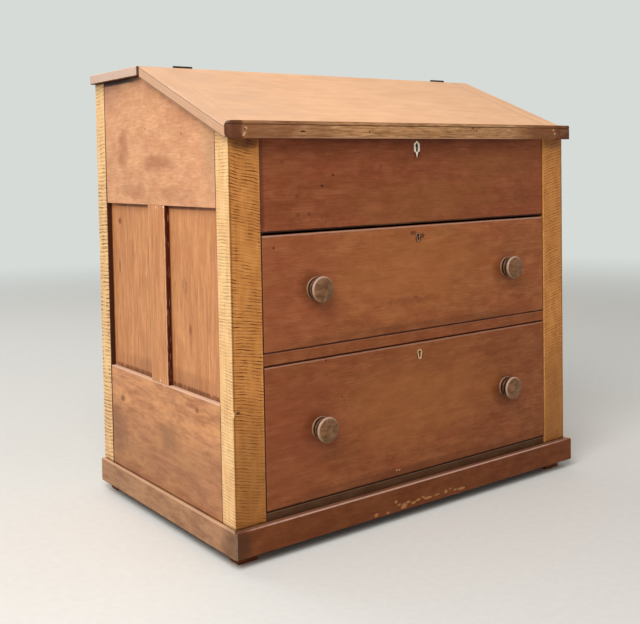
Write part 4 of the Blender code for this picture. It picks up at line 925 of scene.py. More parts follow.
class DESKCHEST_OT_lid(DressOperator, bpy.types.Operator):
    """Finishes the lid and the fixed ledge"""

    bl_idname = "desk_chest.lid"
    bl_label = "Lid and ledge"

    def execute(self, context):
        woods = self.woods
        joints = [Line("X", sign, 0, 1.2, GRIME_AND_SHADE, 0.65) for sign in (-1, 1)]
        shaded = Mark((CAD_BOX[0].x, -0.05, 0.92), (0.34, 0.6, 0.4), "#B09784", 0.3, 0.9, 0.95)
        dress(["lid_panel"], LID_CHERRY, woods.lid_cherry, X, UP_LID, 80.0, marks=[shaded], lines=joints)
        for i, (word, side) in enumerate(SIDES):
            # After the joint with the panel: a dark band and a pale band under the top arris, painted shade
            # and painted highlight of its rounding; then painted shade along the bottom edge and at the upper
            # end, in the gaps there
            lines = [
                Line("Y", -side, 0, 1.0, GRIME_AND_SHADE, 0.65),
                Line("Z", -1, 4.8, 6.2, "#F6D2B2", 0.6),
                Line("Z", -1, 3.4, 4.8, "#7A4A30", 0.8),
                Line("Z", 1, 0.9, 2.4, GRIME_AND_SHADE, 0.8),
                Line("X", 1, 0, 1.2, GRIME_AND_SHADE, 0.8),
            ]
            outer = Side("Y", side, woods.batten_side)
            dress([f"lid_{word}_batten"], LID_CHERRY, woods.lid_cherry, UP_LID, X, 83.0 + 11 * i,
                  marks=[shaded], faces=[outer], lines=lines)
        # The ledge's underside is painted dark as its shade
        sides = [Side("X", sign, woods.ledge_end) for sign in (-1, 1)] + [Side("Z", -1, linear("#4E2210"))]
        dress(["top_board"], LID_CHERRY, woods.lid_cherry, X, Y, 86.0, faces=sides,
              lines=[Line("Y", -1, 0, 1.0, SOOT_AND_SHADE, 0.85)])
        return {"FINISHED"}


class DESKCHEST_OT_inside(DressOperator, bpy.types.Operator):
    """Finishes the pine inside the case and in the drawers"""

    bl_idname = "desk_chest.inside"
    bl_label = "Pine parts"

    def execute(self, context):
        pine = self.woods.pine
        dress(["back_panel"], RAW_PINE, pine, Z, X, 100.0)
        dress(["well_floor", "bottom_board"], RAW_PINE, pine, X, Y, 104.0)
        dress([f"{word}_drawer_runner" for word, _ in SIDES], RAW_PINE, pine, Y, X, 108.0)
        for i, word in enumerate(DRAWERS):
            sides = [f"{word}_drawer_{name}_side" for name, _ in SIDES]
            dress(sides, RAW_PINE, pine, Y, Z, 112.0 + 9 * i)
            dress([f"{word}_drawer_back"], RAW_PINE, pine, X, Z, 115.0 + 9 * i)
            dress([f"{word}_drawer_bottom"], RAW_PINE, pine, X, Y, 118.0 + 9 * i)
        return {"FINISHED"}


def metal(name, colour, tarnish, roughness, seed, grit=2.0):
    """Old metal: bright where it is rubbed, darker and duller where it is tarnished or rusted."""
    material, tree, shader = begin_material(name)
    world = add(tree, "TexCoord").outputs["Object"]
    place = add(tree, "Mapping", {"Vector": world, "Scale": (1 / MM, 1 / MM, 1 / MM)})
    patches = grain_noise(tree, place, 7, 7, seed, detail=4.0, low=0.35, high=0.65)
    grains = grain_noise(tree, place, grit, grit, seed + 1, detail=3.0, low=0.3, high=0.7)
    rough = add(tree, "Math", {0: patches, 1: 0.25, 2: roughness}, operation="MULTIPLY_ADD")
    height = add(tree, "Math", {0: grains, 1: 0.05}, operation="MULTIPLY")
    finish_surface(tree, shader, tinted(colour), [(patches, tinted(colour, tarnish))], rough, height)
    shader.inputs["Metallic"].default_value = 1.0
    return material


def wrought_iron(colour):
    """Forged iron gone brown-black: the hinges, locks, screws and nails read as dark and uneven."""
    known = bpy.data.materials.get("Wrought iron")
    return known or metal("Wrought iron", colour, tarnish=(0.55, 0.42, 0.34), roughness=0.42, seed=5.0)


def polished_bone(colour, keyway):
    """Cut bone, polished: fine straight pores on a pale waxy ground, and the key's way painted near black:
    painted shade in the opening, with grime.
    """
    material, tree, shader = begin_material("Polished bone")
    world = add(tree, "TexCoord").outputs["Object"]
    upright = add(tree, "Mapping", {
        "Vector": world, "Scale": (1 / MM, 1 / MM, 1 / MM), "Rotation": (0, math.radians(90), 0),
    })
    pores = grain_noise(tree, upright, 9, 0.9, 3.0, detail=2.0, low=0.55, high=0.75)
    clouds = grain_noise(tree, upright, 14, 7, 4.0, detail=2.0)
    faint = add(tree, "Math", {0: pores, 1: 0.25}, operation="MULTIPLY")
    way = mark_mask(tree, world, keyway, clouds)
    layers = [
        (clouds, tinted(colour, (1.0, 0.98, 0.94))), (faint, tinted(colour, (0.7, 0.6, 0.45))),
        (way, tinted(linear(keyway.colour))),
    ]
    rough = add(tree, "Math", {0: clouds, 1: 0.15, 2: 0.3}, operation="MULTIPLY_ADD")
    height = add(tree, "Math", {0: pores, 1: -0.03}, operation="MULTIPLY")
    finish_surface(tree, shader, tinted(colour), layers, rough, height)
    return material


class DESKCHEST_OT_hardware(DressOperator, bpy.types.Operator):
    """Finishes the hinges, the locks and their bolts, and the bone escutcheon"""

    bl_idname = "desk_chest.hardware"
    bl_label = "Hinges and locks"

    def execute(self, context):
        iron = wrought_iron(self.fittings.iron)
        names = [f"{word}_hinge_{leaf}_leaf" for word, _ in SIDES for leaf in ("fixed", "lid")]
        names += [f"{word}_drawer_{piece}" for word in DRAWERS for piece in ("lock", "bolt")]
        names += ["well_lock_case", "well_lock_bolt", "lid_link_plate"]
        for name in names:
            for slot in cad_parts[name].material_slots:
                slot.material = iron
        low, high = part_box("bone_escutcheon")
        way_half = 0.0031
        # The key's way painted near black: painted shade in the opening, and grime
        grime_and_shade = front_bar(low.y, -way_half, way_half, low.z + 0.0122, high.z - 0.0042, SOOT_AND_SHADE, amount=0.95,
                          ragged=0.1, soft=0.2, corners=6)
        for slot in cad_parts["bone_escutcheon"].material_slots:
            slot.material = polished_bone(self.fittings.bone, grime_and_shade)
        return {"FINISHED"}


def edit(obj, mode="FACE"):
    """Opens the piece in edit mode with nothing selected."""
    bpy.context.view_layer.objects.active = obj
    bpy.ops.object.mode_set(mode="EDIT")
    bpy.ops.mesh.select_mode(type=mode)
    bpy.ops.mesh.select_all(action="DESELECT")
    return bmesh.from_edit_mesh(obj.data)


def leave_edit():
    bpy.ops.object.mode_set(mode="OBJECT")


def begin_piece(primitive, **settings):
    """Adds a primitive with its place, turn and size in its mesh, and nothing else selected."""
    bpy.ops.object.select_all(action="DESELECT")
    primitive(**settings)
    bpy.ops.object.transform_apply(location=True, rotation=True, scale=True)
    return bpy.context.active_object


def cut_away(piece, tool, label):
    """Cuts the tool's shape out of the piece, and removes the tool."""
    bpy.context.view_layer.objects.active = piece
    cut = piece.modifiers.new(label, "BOOLEAN")
    cut.object = tool
    cut.operation = "DIFFERENCE"
    bpy.ops.object.modifier_apply(modifier=cut.name)
    bpy.data.objects.remove(tool)


def rub_arrises(piece, width, sharper_than):
    """Softens the edges of the active piece that are sharper than this angle in degrees."""
    soft = piece.modifiers.new("Rubbed arrises", "BEVEL")
    soft.width = width
    soft.segments = 2
    soft.limit_method = "ANGLE"
    soft.angle_limit = math.radians(sharper_than)
    bpy.ops.object.modifier_apply(modifier=soft.name)


def close_piece(obj, body, slot, material, *nodes):
    """Gives a finished piece its material and its body, with its place in its mesh."""
    bpy.ops.object.select_all(action="DESELECT")
    obj.select_set(True)
    bpy.context.view_layer.objects.active = obj
    bpy.ops.object.transform_apply(location=True, rotation=True, scale=True)
    obj.data.materials.clear()
    obj.data.materials.append(material)
    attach(obj, body)
    if nodes:
        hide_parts(*nodes)


class DESKCHEST_OT_lip(DressOperator, bpy.types.Operator):
    """Planes the lip along the lid's front, with its bead and its rounded ends"""

    bl_idname = "desk_chest.lip"
    bl_label = "Lip"

    def execute(self, context):
        low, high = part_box("lid_lip")
        high.x -= 0.004  # worn back at the right end
        quirk = high.z - 0.0075  # under the bead
        lip = self.plane_strip(low, high, quirk)
        close_piece(lip, "lid", "lid_cherry", self.finish(low, high, quirk), "lid_lip")
        return {"FINISHED"}

    def plane_strip(
        self, low, high, quirk, quirk_width=0.0011, quirk_depth=0.0011, bead_round=0.003, slack=1e-5
    ):
        """A strip with rounded front corners and left end, and a quirk cut under a bead along its top."""
        lip = begin_piece(
            bpy.ops.mesh.primitive_cube_add, size=1, location=(low + high) / 2, scale=high - low
        )
        lip.name = "beaded_lip"
        shape = edit(lip, "EDGE")
        for line in shape.edges:
            first, second = (vert.co for vert in line.verts)
            upright = max(first.y, second.y) < low.y + MM and abs(first.z - second.z) > MM
            at_left_end = max(first.x, second.x) < 0 and abs(first.z - second.z) < MM
            line.select = upright or at_left_end
        bpy.ops.mesh.bevel(offset=self.fittings.lip_round, segments=6)
        for level in (quirk - quirk_width / 2, quirk + quirk_width / 2):
            bpy.ops.mesh.select_all(action="SELECT")
            bpy.ops.mesh.bisect(plane_co=(0, 0, level), plane_no=(0, 0, 1))
        bpy.ops.mesh.select_mode(type="FACE")
        bpy.ops.mesh.select_all(action="DESELECT")
        shape = bmesh.from_edit_mesh(lip.data)
        for face in shape.faces:
            level = face.calc_center_median().z
            face.select = abs(level - quirk) < quirk_width / 4 and face.normal.y < 0.5
        bpy.ops.mesh.extrude_region_move()
        bpy.ops.transform.shrink_fatten(value=-quirk_depth)
        bpy.ops.mesh.select_mode(type="EDGE")
        bpy.ops.mesh.select_all(action="DESELECT")
        shape = bmesh.from_edit_mesh(lip.data)
        for line in shape.edges:
            ends = [vert.co for vert in line.verts]
            level = all(abs(p.z - high.z) < slack for p in ends)
            along_left_end = all(p.x < low.x + self.fittings.lip_round + 10 * slack for p in ends)
            along_back = all(p.y > high.y - slack for p in ends)
            line.select = level and not along_left_end and not along_back
        bpy.ops.mesh.bevel(offset=bead_round, segments=4)
        leave_edit()
        rub_arrises(lip, 0.0007, sharper_than=50)
        bpy.ops.object.shade_smooth_by_angle(angle=math.radians(35))
        return lip

    def finish(self, low, high, quirk):
        """Handled brown, darker at both ends where the old finish is still whole."""
        span = 0.03
        left_end, right_end = low.x + 0.033, high.x - 0.062  # how far the old finish is whole
        chips = ((left_end, 0.8262), (low.x + 0.036, 0.8300), (low.x + 0.038, 0.8384),
                 (right_end, 0.8330), (high.x - 0.066, 0.8420))
        marks = [
            bar((low.x - span, low.y - span, low.z - span), (left_end, high.y + span, high.z + span),
                "#50291A", amount=0.92, ragged=1.2, soft=0.3),
            bar((right_end, low.y - span, low.z - span), (high.x + span, high.y + span, high.z + span),
                "#43180E", amount=0.9, ragged=1.2, soft=0.4),
            # Dark in the quirk under the bead: painted shade and grime
            bar((low.x - 0.01, low.y - span, quirk - 0.0009), (high.x + 0.01, high.y, quirk + 0.0009),
                SOOT_AND_SHADE, amount=0.8, ragged=0.4),
            bar((low.x + 0.036, low.y - 0.002, low.z - 0.002), (high.x - 0.07, low.y + 0.003, low.z + 0.0016),
                "#C49A80", amount=0.8, ragged=0.8),
            bar((low.x - 0.01, low.y - 0.004, high.z - 0.0014), (high.x + 0.01, high.y, high.z + 0.002),
                "#6B3F22", amount=0.7, ragged=0.8),
            *spots(low.y, ((low.x + 0.12, 0.838, 0.13, 0.04, "#74432A", 0.7, 1.6, 0.95),
                           (high.x - 0.1, 0.838, 0.13, 0.04, "#743E1E", 0.8, 1.2, 0.95)), 0.02),
            *spots(low.y, [(*chip, 0.0036, 0.0026, "#C89E78", 0.9, 0.9, 0.3) for chip in chips]),
            *spots(low.y, LIP_DENTS),
        ]
        return wood(HANDLED_CHERRY, self.woods.lip_cherry, Board("lid_lip", X, Z), 89.0, marks=marks)


def knob_sections(radius, reach):
    """Radius and distance from the drawer of each turned section of a knob, as a turner would cut them."""
    def round_over(middle, size, start, end, steps=8):
        angles = (math.radians(start + (end - start) * i / steps) for i in range(steps + 1))
        return [(middle[0] + size * math.cos(a), middle[1] + size * math.sin(a)) for a in angles]

    flange, bead, rim, dome = 0.0042, 0.0066, 0.0060, 0.0030
    neck, cove, groove = radius * 0.66, radius * 0.7, 0.0024
    bead_end = flange + groove + bead
    rim_end = reach - dome
    face = radius - rim / 2
    face_radius = (face**2 + dome**2) / (2 * dome)
    slant = math.degrees(math.acos(face / face_radius))
    return [
        *round_over((radius * 0.905 - flange / 2, flange / 2), flange / 2, -90, 90),
        (neck, flange),
        (neck, flange + groove),
        *round_over((radius * 0.842 - bead / 2, bead_end - bead / 2), bead / 2, -90, 90),
        (cove, (bead_end + rim_end - rim) / 2),
        *round_over((face, rim_end - rim / 2), rim / 2, -90, 90, 12),
        *round_over((0, rim_end + dome - face_radius), face_radius, slant, 89.5, 10),
    ]


def handled_knob(colour, centre, reach, seed, lathe_pitch=1.6):
    """Turned hardwood, greyed by hands: lathe rings, scuffs on the face, grime and painted shade in the
    grooves behind the head, and a rim rubbed pale with a painted highlight on its upper left.
    """
    material, tree, shader = begin_material(f"Turned knob wood {seed:.0f}")
    world = add(tree, "TexCoord").outputs["Object"]
    place = add(tree, "Mapping", {
        "Vector": world, "Location": tuple(-c / MM for c in centre), "Scale": (1 / MM, 1 / MM, 1 / MM),
    })
    parts = add(tree, "SeparateXYZ", {0: place})
    flat = add(tree, "VectorMath", {0: place, 1: (1, 0, 1)}, operation="MULTIPLY")
    radius = add(tree, "VectorMath", {0: flat}, operation="LENGTH").outputs["Value"]
    turns = add(tree, "Math", {0: radius, 1: math.tau / lathe_pitch}, operation="MULTIPLY")
    lathe = add(tree, "Math", {0: turns}, operation="SINE")
    forward = add(tree, "Math", {0: parts.outputs["Y"], 1: -1}, operation="MULTIPLY")
    clouds = grain_noise(tree, place, 16, 9, seed, detail=3.0, low=0.36, high=0.64)
    turned = add(tree, "Mapping", {"Vector": place, "Rotation": (0, math.radians(55), 0)})
    scuffs = grain_noise(tree, turned, 14, 2.4, seed + 1, detail=3.0, low=0.54, high=0.7)
    pale = add(tree, "Math", {0: scuffs, 1: 0.6}, operation="MULTIPLY")
    # The narrow parts behind the head are darkened: grime and painted shade
    neck = add(tree, "MapRange", {
        "Value": radius, "From Min": 23, "From Max": 20.5, "To Max": 0.85,
    })
    behind = add(tree, "MapRange", {
        "Value": forward, "From Min": reach / MM - 8, "From Max": reach / MM - 11,
    })
    grime_and_shade = add(tree, "Math", {0: neck, 1: behind}, operation="MULTIPLY")
    # The rim is paler on its upper left: rubbed by hands, and a painted highlight towards the key lamp
    rim = add(tree, "MapRange", {"Value": radius, "From Min": 22.5, "From Max": 24.5})
    upward = add(tree, "VectorMath", {0: place, 1: (-0.6, 0, 0.8)}, operation="DOT_PRODUCT").outputs["Value"]
    lit_and_touched = add(tree, "MapRange", {
        "Value": upward, "From Min": -14, "From Max": 22, "To Min": 0.08, "To Max": 0.6,
    })
    rubbed = add(tree, "Math", {0: rim, 1: lit_and_touched}, operation="MULTIPLY")
    layers = [
        (clouds, tinted(colour, (1.3, 1.3, 1.3))),
        (pale, tinted(colour, (2.3, 3.0, 4.4))),
        (rubbed, tinted(colour, (3.6, 5.4, 10.5))),
        (grime_and_shade, tinted(linear(SOOT_AND_SHADE))),
    ]
    rough = add(tree, "Math", {0: scuffs, 1: 0.2, 2: 0.36}, operation="MULTIPLY_ADD")
    cut = add(tree, "Math", {0: lathe, 1: 0.012}, operation="MULTIPLY")
    height = add(tree, "Math", {0: scuffs, 1: -0.06, 2: cut}, operation="MULTIPLY_ADD")
    finish_surface(tree, shader, tinted(colour, (0.6, 0.56, 0.52)), layers, rough, height)
    shader.inputs["IOR"].default_value = 1.5
    shader.inputs["Specular IOR Level"].default_value = 0.2
    shader.inputs["Coat Weight"].default_value = 0.06
    shader.inputs["Coat Roughness"].default_value = 0.25
    return material


class DESKCHEST_OT_knobs(DressOperator, bpy.types.Operator):
    """Turns the four drawer knobs"""

    bl_idname = "desk_chest.knobs"
    bl_label = "Knobs"

    def execute(self, context):
        low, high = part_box("upper_drawer_left_knob")
        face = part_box("upper_drawer_front")[0].y
        radius, reach = self.fittings.knob_radius, self.fittings.knob_reach
        rise = (high.x - low.x) / 2 - radius
        pattern = self.turn(radius, reach)
        for i, (word, name) in enumerate((d, n) for d in DRAWERS for n, _ in SIDES):
            node = f"{word}_drawer_{name}_knob"
            low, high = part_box(node)
            centre = Vector(((low.x + high.x) / 2, face, (low.z + high.z) / 2 + rise))
            knob = copied(pattern, f"{word}_{name}_turned_knob", Matrix.Translation(centre))
            finish = handled_knob(self.woods.knob_wood, centre, reach, 200.0 + 7 * i)
            close_piece(knob, f"{word}_drawer", "knob_wood", finish, node)
        bpy.data.objects.remove(pattern)
        return {"FINISHED"}

    def turn(self, radius, reach):
        """Raises a knob from a disc at the origin, section by section."""
        sections = knob_sections(radius, reach)
        knob = begin_piece(
            bpy.ops.mesh.primitive_circle_add, vertices=self.fittings.knob_sides, radius=sections[0][0],
            fill_type="NGON", rotation=FACING_FRONT,
        )
        edit(knob)
        bpy.ops.mesh.select_all(action="SELECT")
        for (last, below), (size, forward) in zip(sections, sections[1:]):
            bpy.ops.mesh.extrude_region_move(
                TRANSFORM_OT_translate={"value": (0, below - forward, 0)}
            )
            share = size / last
            bpy.ops.transform.resize(value=(share, 1, share), center_override=(0, 0, 0))
        bpy.ops.mesh.select_all(action="SELECT")
        bpy.ops.mesh.normals_make_consistent(inside=False)
        leave_edit()
        bpy.ops.object.shade_smooth_by_angle(angle=math.radians(35))
        return knob


def copied(piece, name, move):
    """A copy of a modelled piece with a mesh of its own, moved by this matrix."""
    copy = piece.copy()
    copy.data = piece.data.copy()
    copy.data.transform(move)
    copy.name = name
    bpy.context.collection.objects.link(copy)
    return copy


def slotted_screw(head):
    """A countersunk screw's head that faces -Y, modelled at the origin."""
    thickness = head * 0.22
    screw = begin_piece(
        bpy.ops.mesh.primitive_cylinder_add, vertices=32, radius=head / 2, depth=thickness,
        rotation=FACING_FRONT,
    )
    shape = edit(screw)
    for face in shape.faces:
        face.select = face.normal.y < -0.9
    bpy.ops.mesh.inset(thickness=head * 0.06, depth=head * 0.02)
    leave_edit()
    bpy.ops.mesh.primitive_cube_add(
        size=1, location=(0, -thickness / 2, 0), scale=(head * 1.2, head * 0.09, head * 0.13)
    )
    cut_away(screw, bpy.context.active_object, "Slot")
    bpy.ops.object.shade_smooth_by_angle(angle=math.radians(30))
    return screw


def set_screws(pattern, name, places, facing, body, material):
    """Copies of a screw at these places, whose heads face the given way and stand a little proud."""
    turn = (-Y).rotation_difference(facing).to_matrix().to_4x4()
    thickness = pattern.dimensions.y
    screws = []
    for i, spot in enumerate(places):
        spin = Matrix.Rotation(math.radians(25 + 67 * i), 4, "Y")
        sunk = Matrix.Translation(spot + facing * (SCREW_PROUD - thickness / 2))
        screws.append(copied(pattern, name, sunk @ turn @ spin))
    bpy.ops.object.select_all(action="DESELECT")
    for screw in screws:
        screw.select_set(True)
    bpy.context.view_layer.objects.active = screws[0]
    bpy.ops.object.join()
    close_piece(screws[0], body, "iron", material)


class DESKCHEST_OT_screws(DressOperator, bpy.types.Operator):
    """Sets the screws of the hinges and the locks"""

    bl_idname = "desk_chest.screws"
    bl_label = "Screws"

    def execute(self, context):
        iron = wrought_iron(self.fittings.iron)
        head = self.fittings.screw_head
        pattern = slotted_screw(head)
        for word, _ in SIDES:
            for leaf, facing, body in (("fixed", -Y, "case"), ("lid", Y, "lid")):
                low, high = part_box(f"{word}_hinge_{leaf}_leaf")
                face = self.leaf_face(f"{word}_hinge_{leaf}_leaf", facing)
                height = low.z + head * 1.15
                spots = [
                    Vector((low.x + (high.x - low.x) * share, face, height)) for share in (0.17, 0.5, 0.83)
                ]
                set_screws(pattern, f"{word}_hinge_{leaf}_screws", spots, facing, body, iron)
        for word in DRAWERS:
            low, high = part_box(f"{word}_drawer_lock")
            spots = [
                Vector((x, high.y, z))
                for x in (low.x + head, high.x - head) for z in (low.z + head, high.z - head)
            ]
            set_screws(pattern, f"{word}_lock_screws", spots, Y, f"{word}_drawer", iron)
        low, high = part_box("well_lock_case")
        spots = [
            Vector((x, high.y, z))
            for x in (low.x + head, high.x - head) for z in (low.z + head, low.z + 3.6 * head)
        ]
        set_screws(pattern, "well_lock_screws", spots, Y, "case", iron)
        bpy.data.objects.remove(pattern)
        return {"FINISHED"}

    def leaf_face(self, node, facing):
        """Depth of a leaf's flat face: the face of its lower half that looks this way."""
        low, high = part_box(node)
        middle = (low.z + high.z) / 2
        depths = [vert.co.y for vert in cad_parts[node].data.vertices if vert.co.z < middle]
        return max(depths) if facing.y > 0 else min(depths)


class DESKCHEST_OT_liners(DressOperator, bpy.types.Operator):
    """Lets a brass liner into the keyhole of each drawer"""

    bl_idname = "desk_chest.liners"
    bl_label = "Keyhole liners"

    def execute(self, context):
        for word, wall, shade in (("upper", 0.0016, 0.55), ("lower", self.fittings.liner_wall, 1.0)):
            brass = metal(
                f"Brass, {word} liner", tuple(c * shade for c in self.fittings.brass),
                tarnish=(0.75, 0.68, 0.6), roughness=0.5, seed=31.0, grit=3.0,
            )
            low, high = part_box(f"{word}_drawer_front")
            centre = Vector((0, low.y, high.z - KEY_UNDER_EDGE))
            liner = self.liner(f"{word}_keyhole_liner", centre, wall)
            close_piece(liner, f"{word}_drawer", "iron", brass)
        return {"FINISHED"}

    def liner(self, name, centre, wall, sunk=0.006, proud=0.0003, fit=0.0001):
        """A band round the keyhole: a full outline less the key's way."""
        body = self.outline(centre, KEY_ROUND + wall, KEY_SLOT / 2 + wall, KEY_DROP + wall, sunk, proud)
        way = self.outline(
            centre, KEY_ROUND - fit, KEY_SLOT / 2 - fit, KEY_DROP - fit, sunk + 2 * fit, proud + 2 * fit
        )
        body.name = name
        cut_away(body, way, "Key's way")
        rub_arrises(body, 0.00025, sharper_than=30)
        bpy.ops.object.shade_smooth_by_angle(angle=math.radians(35))
        return body

    def outline(self, centre, round_radius, slot_half, drop, sunk, proud):
        """A round with a straight, round-footed tail under it, pushed through from front to back."""
        piece = begin_piece(
            bpy.ops.mesh.primitive_circle_add, vertices=48, radius=round_radius, fill_type="NGON",
            location=centre - Y * proud, rotation=FACING_FRONT,
        )
        shape = edit(piece, "VERT")
        for vert in shape.verts:
            vert.select = vert.co.z < centre.z and abs(vert.co.x) < slot_half
        bpy.ops.transform.translate(value=(0, 0, -(drop - round_radius)))
        bpy.ops.mesh.select_mode(type="FACE")
        bpy.ops.mesh.select_all(action="SELECT")
        bpy.ops.mesh.extrude_region_move(TRANSFORM_OT_translate={"value": (0, sunk + proud, 0)})
        bpy.ops.mesh.select_all(action="SELECT")
        bpy.ops.mesh.normals_make_consistent(inside=False)
        leave_edit()
        return piece


class DESKCHEST_OT_nails(DressOperator, bpy.types.Operator):
    """Drives the nails that hold the lip"""

    bl_idname = "desk_chest.nails"
    bl_label = "Lip nails"

    def execute(self, context):
        low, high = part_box("lid_lip")
        iron = wrought_iron(self.fittings.iron)
        height = low.z + (high.z - low.z) * 0.45
        pattern = self.nail(self.fittings.nail_head)
        for i, x in enumerate((low.x + 0.036, -0.155, 0.16, high.x - 0.047)):
            place = Matrix.Translation((x, low.y, height + 0.002 * (-1) ** i))
            nail = copied(pattern, f"lip_nail_{i + 1}", place @ Matrix.Rotation(0.3 * i, 4, "Y"))
            close_piece(nail, "lid", "iron", iron)
        bpy.data.objects.remove(pattern)
        return {"FINISHED"}

    def nail(self, size):
        """A hammered head at the origin, level with the wood."""
        nail = begin_piece(
            bpy.ops.mesh.primitive_cylinder_add, vertices=8, radius=size / 2, depth=size,
            location=Y * size / 2, rotation=FACING_FRONT,
        )
        shape = edit(nail)
        for face in shape.faces:
            face.select = face.normal.y < -0.9
        bpy.ops.mesh.inset(thickness=size * 0.12)
        bpy.ops.transform.translate(value=(0, -size * 0.03, 0))
        bpy.ops.mesh.inset(thickness=size * 0.2)
        bpy.ops.transform.translate(value=(0, -size * 0.02, 0))
        leave_edit()
        return nail


class DESKCHEST_OT_studio(bpy.types.Operator):
    """Lays the floor, hangs the lamps and sets the camera"""

    bl_idname = "desk_chest.studio"
    bl_label = "Studio"
    bl_options = {"REGISTER", "UNDO"}

    def execute(self, context):
        studio = context.scene.desk_chest_studio
        context.scene.view_settings.view_transform = "Standard"
        self.floor(studio)
        self.surroundings(context.scene, studio)
        aim = Vector((0, 0, 0.45))
        self.lamp("Key lamp", aim + Vector((-2.4, -1.7, 2.7)), aim, 2.6, studio.key)
        self.lamp("Rear lamp", aim + Vector((-0.6, 3.2, 2.6)), aim, 2.6, studio.rim)
        self.camera(context.scene, studio)
        return {"FINISHED"}

    def floor(self, studio, size=14.0, fade_start=2.6, fade_end=6.0):
        """A matt painted floor that melts into the surroundings."""
        bpy.ops.object.select_all(action="DESELECT")
        bpy.ops.mesh.primitive_plane_add(size=size)
        floor = bpy.context.active_object
        floor.name = "studio_floor"
        material, tree, shader = begin_material("Matt painted floor")
        source = add(tree, "TexCoord")
        specks = add(tree, "TexNoise", {"Vector": source.outputs["Object"], "Scale": 60, "Detail": 4})
        shade = add(tree, "MapRange", {"Value": specks, "From Min": 0.3, "From Max": 0.7})
        colour = add(
            tree, "Mix",
            {"Factor": shade, "A": tinted(studio.floor, (0.96, 0.96, 0.96)), "B": tinted(studio.floor)},
            data_type="RGBA",
        )
        tree.links.new(colour.outputs[2], shader.inputs["Base Color"])
        shader.inputs["Roughness"].default_value = 0.85
        shader.inputs["Specular IOR Level"].default_value = 0.2
        distance = add(tree, "VectorMath", {0: source.outputs["Object"]}, operation="LENGTH")
        fade = add(tree, "MapRange", {
            "Value": distance.outputs["Value"], "From Min": fade_start, "From Max": fade_end,
        }, interpolation_type="SMOOTHSTEP")
        clear = add(tree, "BsdfTransparent")
        blend = add(tree, "MixShader", {0: fade, 1: shader, 2: clear})
        output = next(node for node in tree.nodes if node.type == "OUTPUT_MATERIAL")
        tree.links.new(blend.outputs[0], output.inputs["Surface"])
        floor.data.materials.append(material)

    def surroundings(self, scene, studio):
        """Even light from all round, which the camera and reflections see as a pale backdrop."""
        world = bpy.data.worlds.new("Pale studio")
        scene.world = world
        world.use_nodes = True
        tree = world.node_tree
        tree.nodes.clear()
        light = add(tree, "Background", {"Color": (1, 1, 1, 1), "Strength": studio.ambient})
        seen = add(tree, "Background", {"Color": tinted(studio.backdrop), "Strength": 1.0})
        ray = add(tree, "LightPath")
        shown = ray.outputs["Is Camera Ray"]
        for kind in ("Is Glossy Ray", "Is Transmission Ray"):
            shown = add(tree, "Math", {0: shown, 1: ray.outputs[kind]}, operation="MAXIMUM")
        mixed = add(tree, "MixShader", {0: shown, 1: light, 2: seen})
        output = add(tree, "OutputWorld")
        tree.links.new(mixed.outputs[0], output.inputs["Surface"])

    def lamp(self, name, place, aim, size, watts):
        data = bpy.data.lights.new(name, "AREA")
        data.shape = "SQUARE"
        data.size = size
        data.energy = watts
        lamp = bpy.data.objects.new(name, data)
        lamp.location = place
        lamp.rotation_euler = (aim - place).to_track_quat("-Z", "Y").to_euler()
        bpy.context.scene.collection.objects.link(lamp)

    def camera(self, scene, studio):
        """The photograph's viewpoint: well to the left of the front, a little under the lip's height."""
        eye = (-1.40944, -1.80352, 0.76561)
        yaw, pitch, roll = 0.636243, -0.043437, -0.017642
        ahead = Vector((
            math.sin(yaw) * math.cos(pitch), math.cos(yaw) * math.cos(pitch), math.sin(pitch)
        ))
        level = Vector((math.cos(yaw), -math.sin(yaw), 0))
        right = math.cos(roll) * level + math.sin(roll) * level.cross(ahead)
        data = bpy.data.cameras.new("Camera")
        data.lens = studio.lens
        data.sensor_width = 36
        data.shift_x, data.shift_y = 0.01136, -0.16406
        camera = bpy.data.objects.new("Camera", data)
        turn = Matrix((right, right.cross(ahead), -ahead)).transposed()
        camera.matrix_world = Matrix.Translation(eye) @ turn.to_4x4()
        scene.collection.objects.link(camera)
        scene.camera = camera


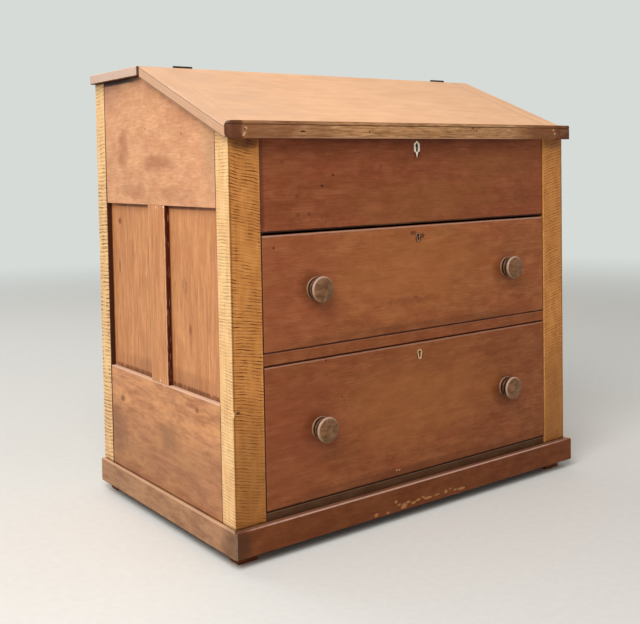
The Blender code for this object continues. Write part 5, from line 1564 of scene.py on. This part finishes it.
class DESKCHEST_PT_panel(bpy.types.Panel):
    """The chest's pieces, colours and studio"""

    bl_idname = "DESKCHEST_PT_panel"
    bl_label = "Desk chest"
    bl_space_type = "VIEW_3D"
    bl_region_type = "UI"
    bl_category = "Desk chest"

    def draw(self, context):
        for operator in OPERATORS:
            self.layout.operator(operator.bl_idname)
        scene = context.scene
        for group in (scene.desk_chest_woods, scene.desk_chest_fittings, scene.desk_chest_studio):
            box = self.layout.box()
            for name in group.__annotations__:
                box.prop(group, name)


OPERATORS = (
    DESKCHEST_OT_posts,
    DESKCHEST_OT_sides,
    DESKCHEST_OT_fronts,
    DESKCHEST_OT_plinth,
    DESKCHEST_OT_lid,
    DESKCHEST_OT_lip,
    DESKCHEST_OT_inside,
    DESKCHEST_OT_hardware,
    DESKCHEST_OT_knobs,
    DESKCHEST_OT_screws,
    DESKCHEST_OT_liners,
    DESKCHEST_OT_nails,
    DESKCHEST_OT_studio,
)
GROUPS = (DESKCHEST_PG_woods, DESKCHEST_PG_fittings, DESKCHEST_PG_studio)


def register():
    for item in (*GROUPS, *OPERATORS, DESKCHEST_PT_panel):
        bpy.utils.register_class(item)
    bpy.types.Scene.desk_chest_woods = PointerProperty(type=DESKCHEST_PG_woods)
    bpy.types.Scene.desk_chest_fittings = PointerProperty(type=DESKCHEST_PG_fittings)
    bpy.types.Scene.desk_chest_studio = PointerProperty(type=DESKCHEST_PG_studio)


def unregister():
    del bpy.types.Scene.desk_chest_studio
    del bpy.types.Scene.desk_chest_fittings
    del bpy.types.Scene.desk_chest_woods
    for item in reversed((*GROUPS, *OPERATORS, DESKCHEST_PT_panel)):
        bpy.utils.unregister_class(item)


def main():
    register()
    bpy.ops.desk_chest.posts()
    bpy.ops.desk_chest.sides()
    bpy.ops.desk_chest.fronts()
    bpy.ops.desk_chest.plinth()
    bpy.ops.desk_chest.lid()
    bpy.ops.desk_chest.lip()
    bpy.ops.desk_chest.inside()
    bpy.ops.desk_chest.hardware()
    bpy.ops.desk_chest.knobs()
    bpy.ops.desk_chest.screws()
    bpy.ops.desk_chest.liners()
    bpy.ops.desk_chest.nails()
    bpy.ops.desk_chest.studio()


if __name__ == "__main__":
    main()
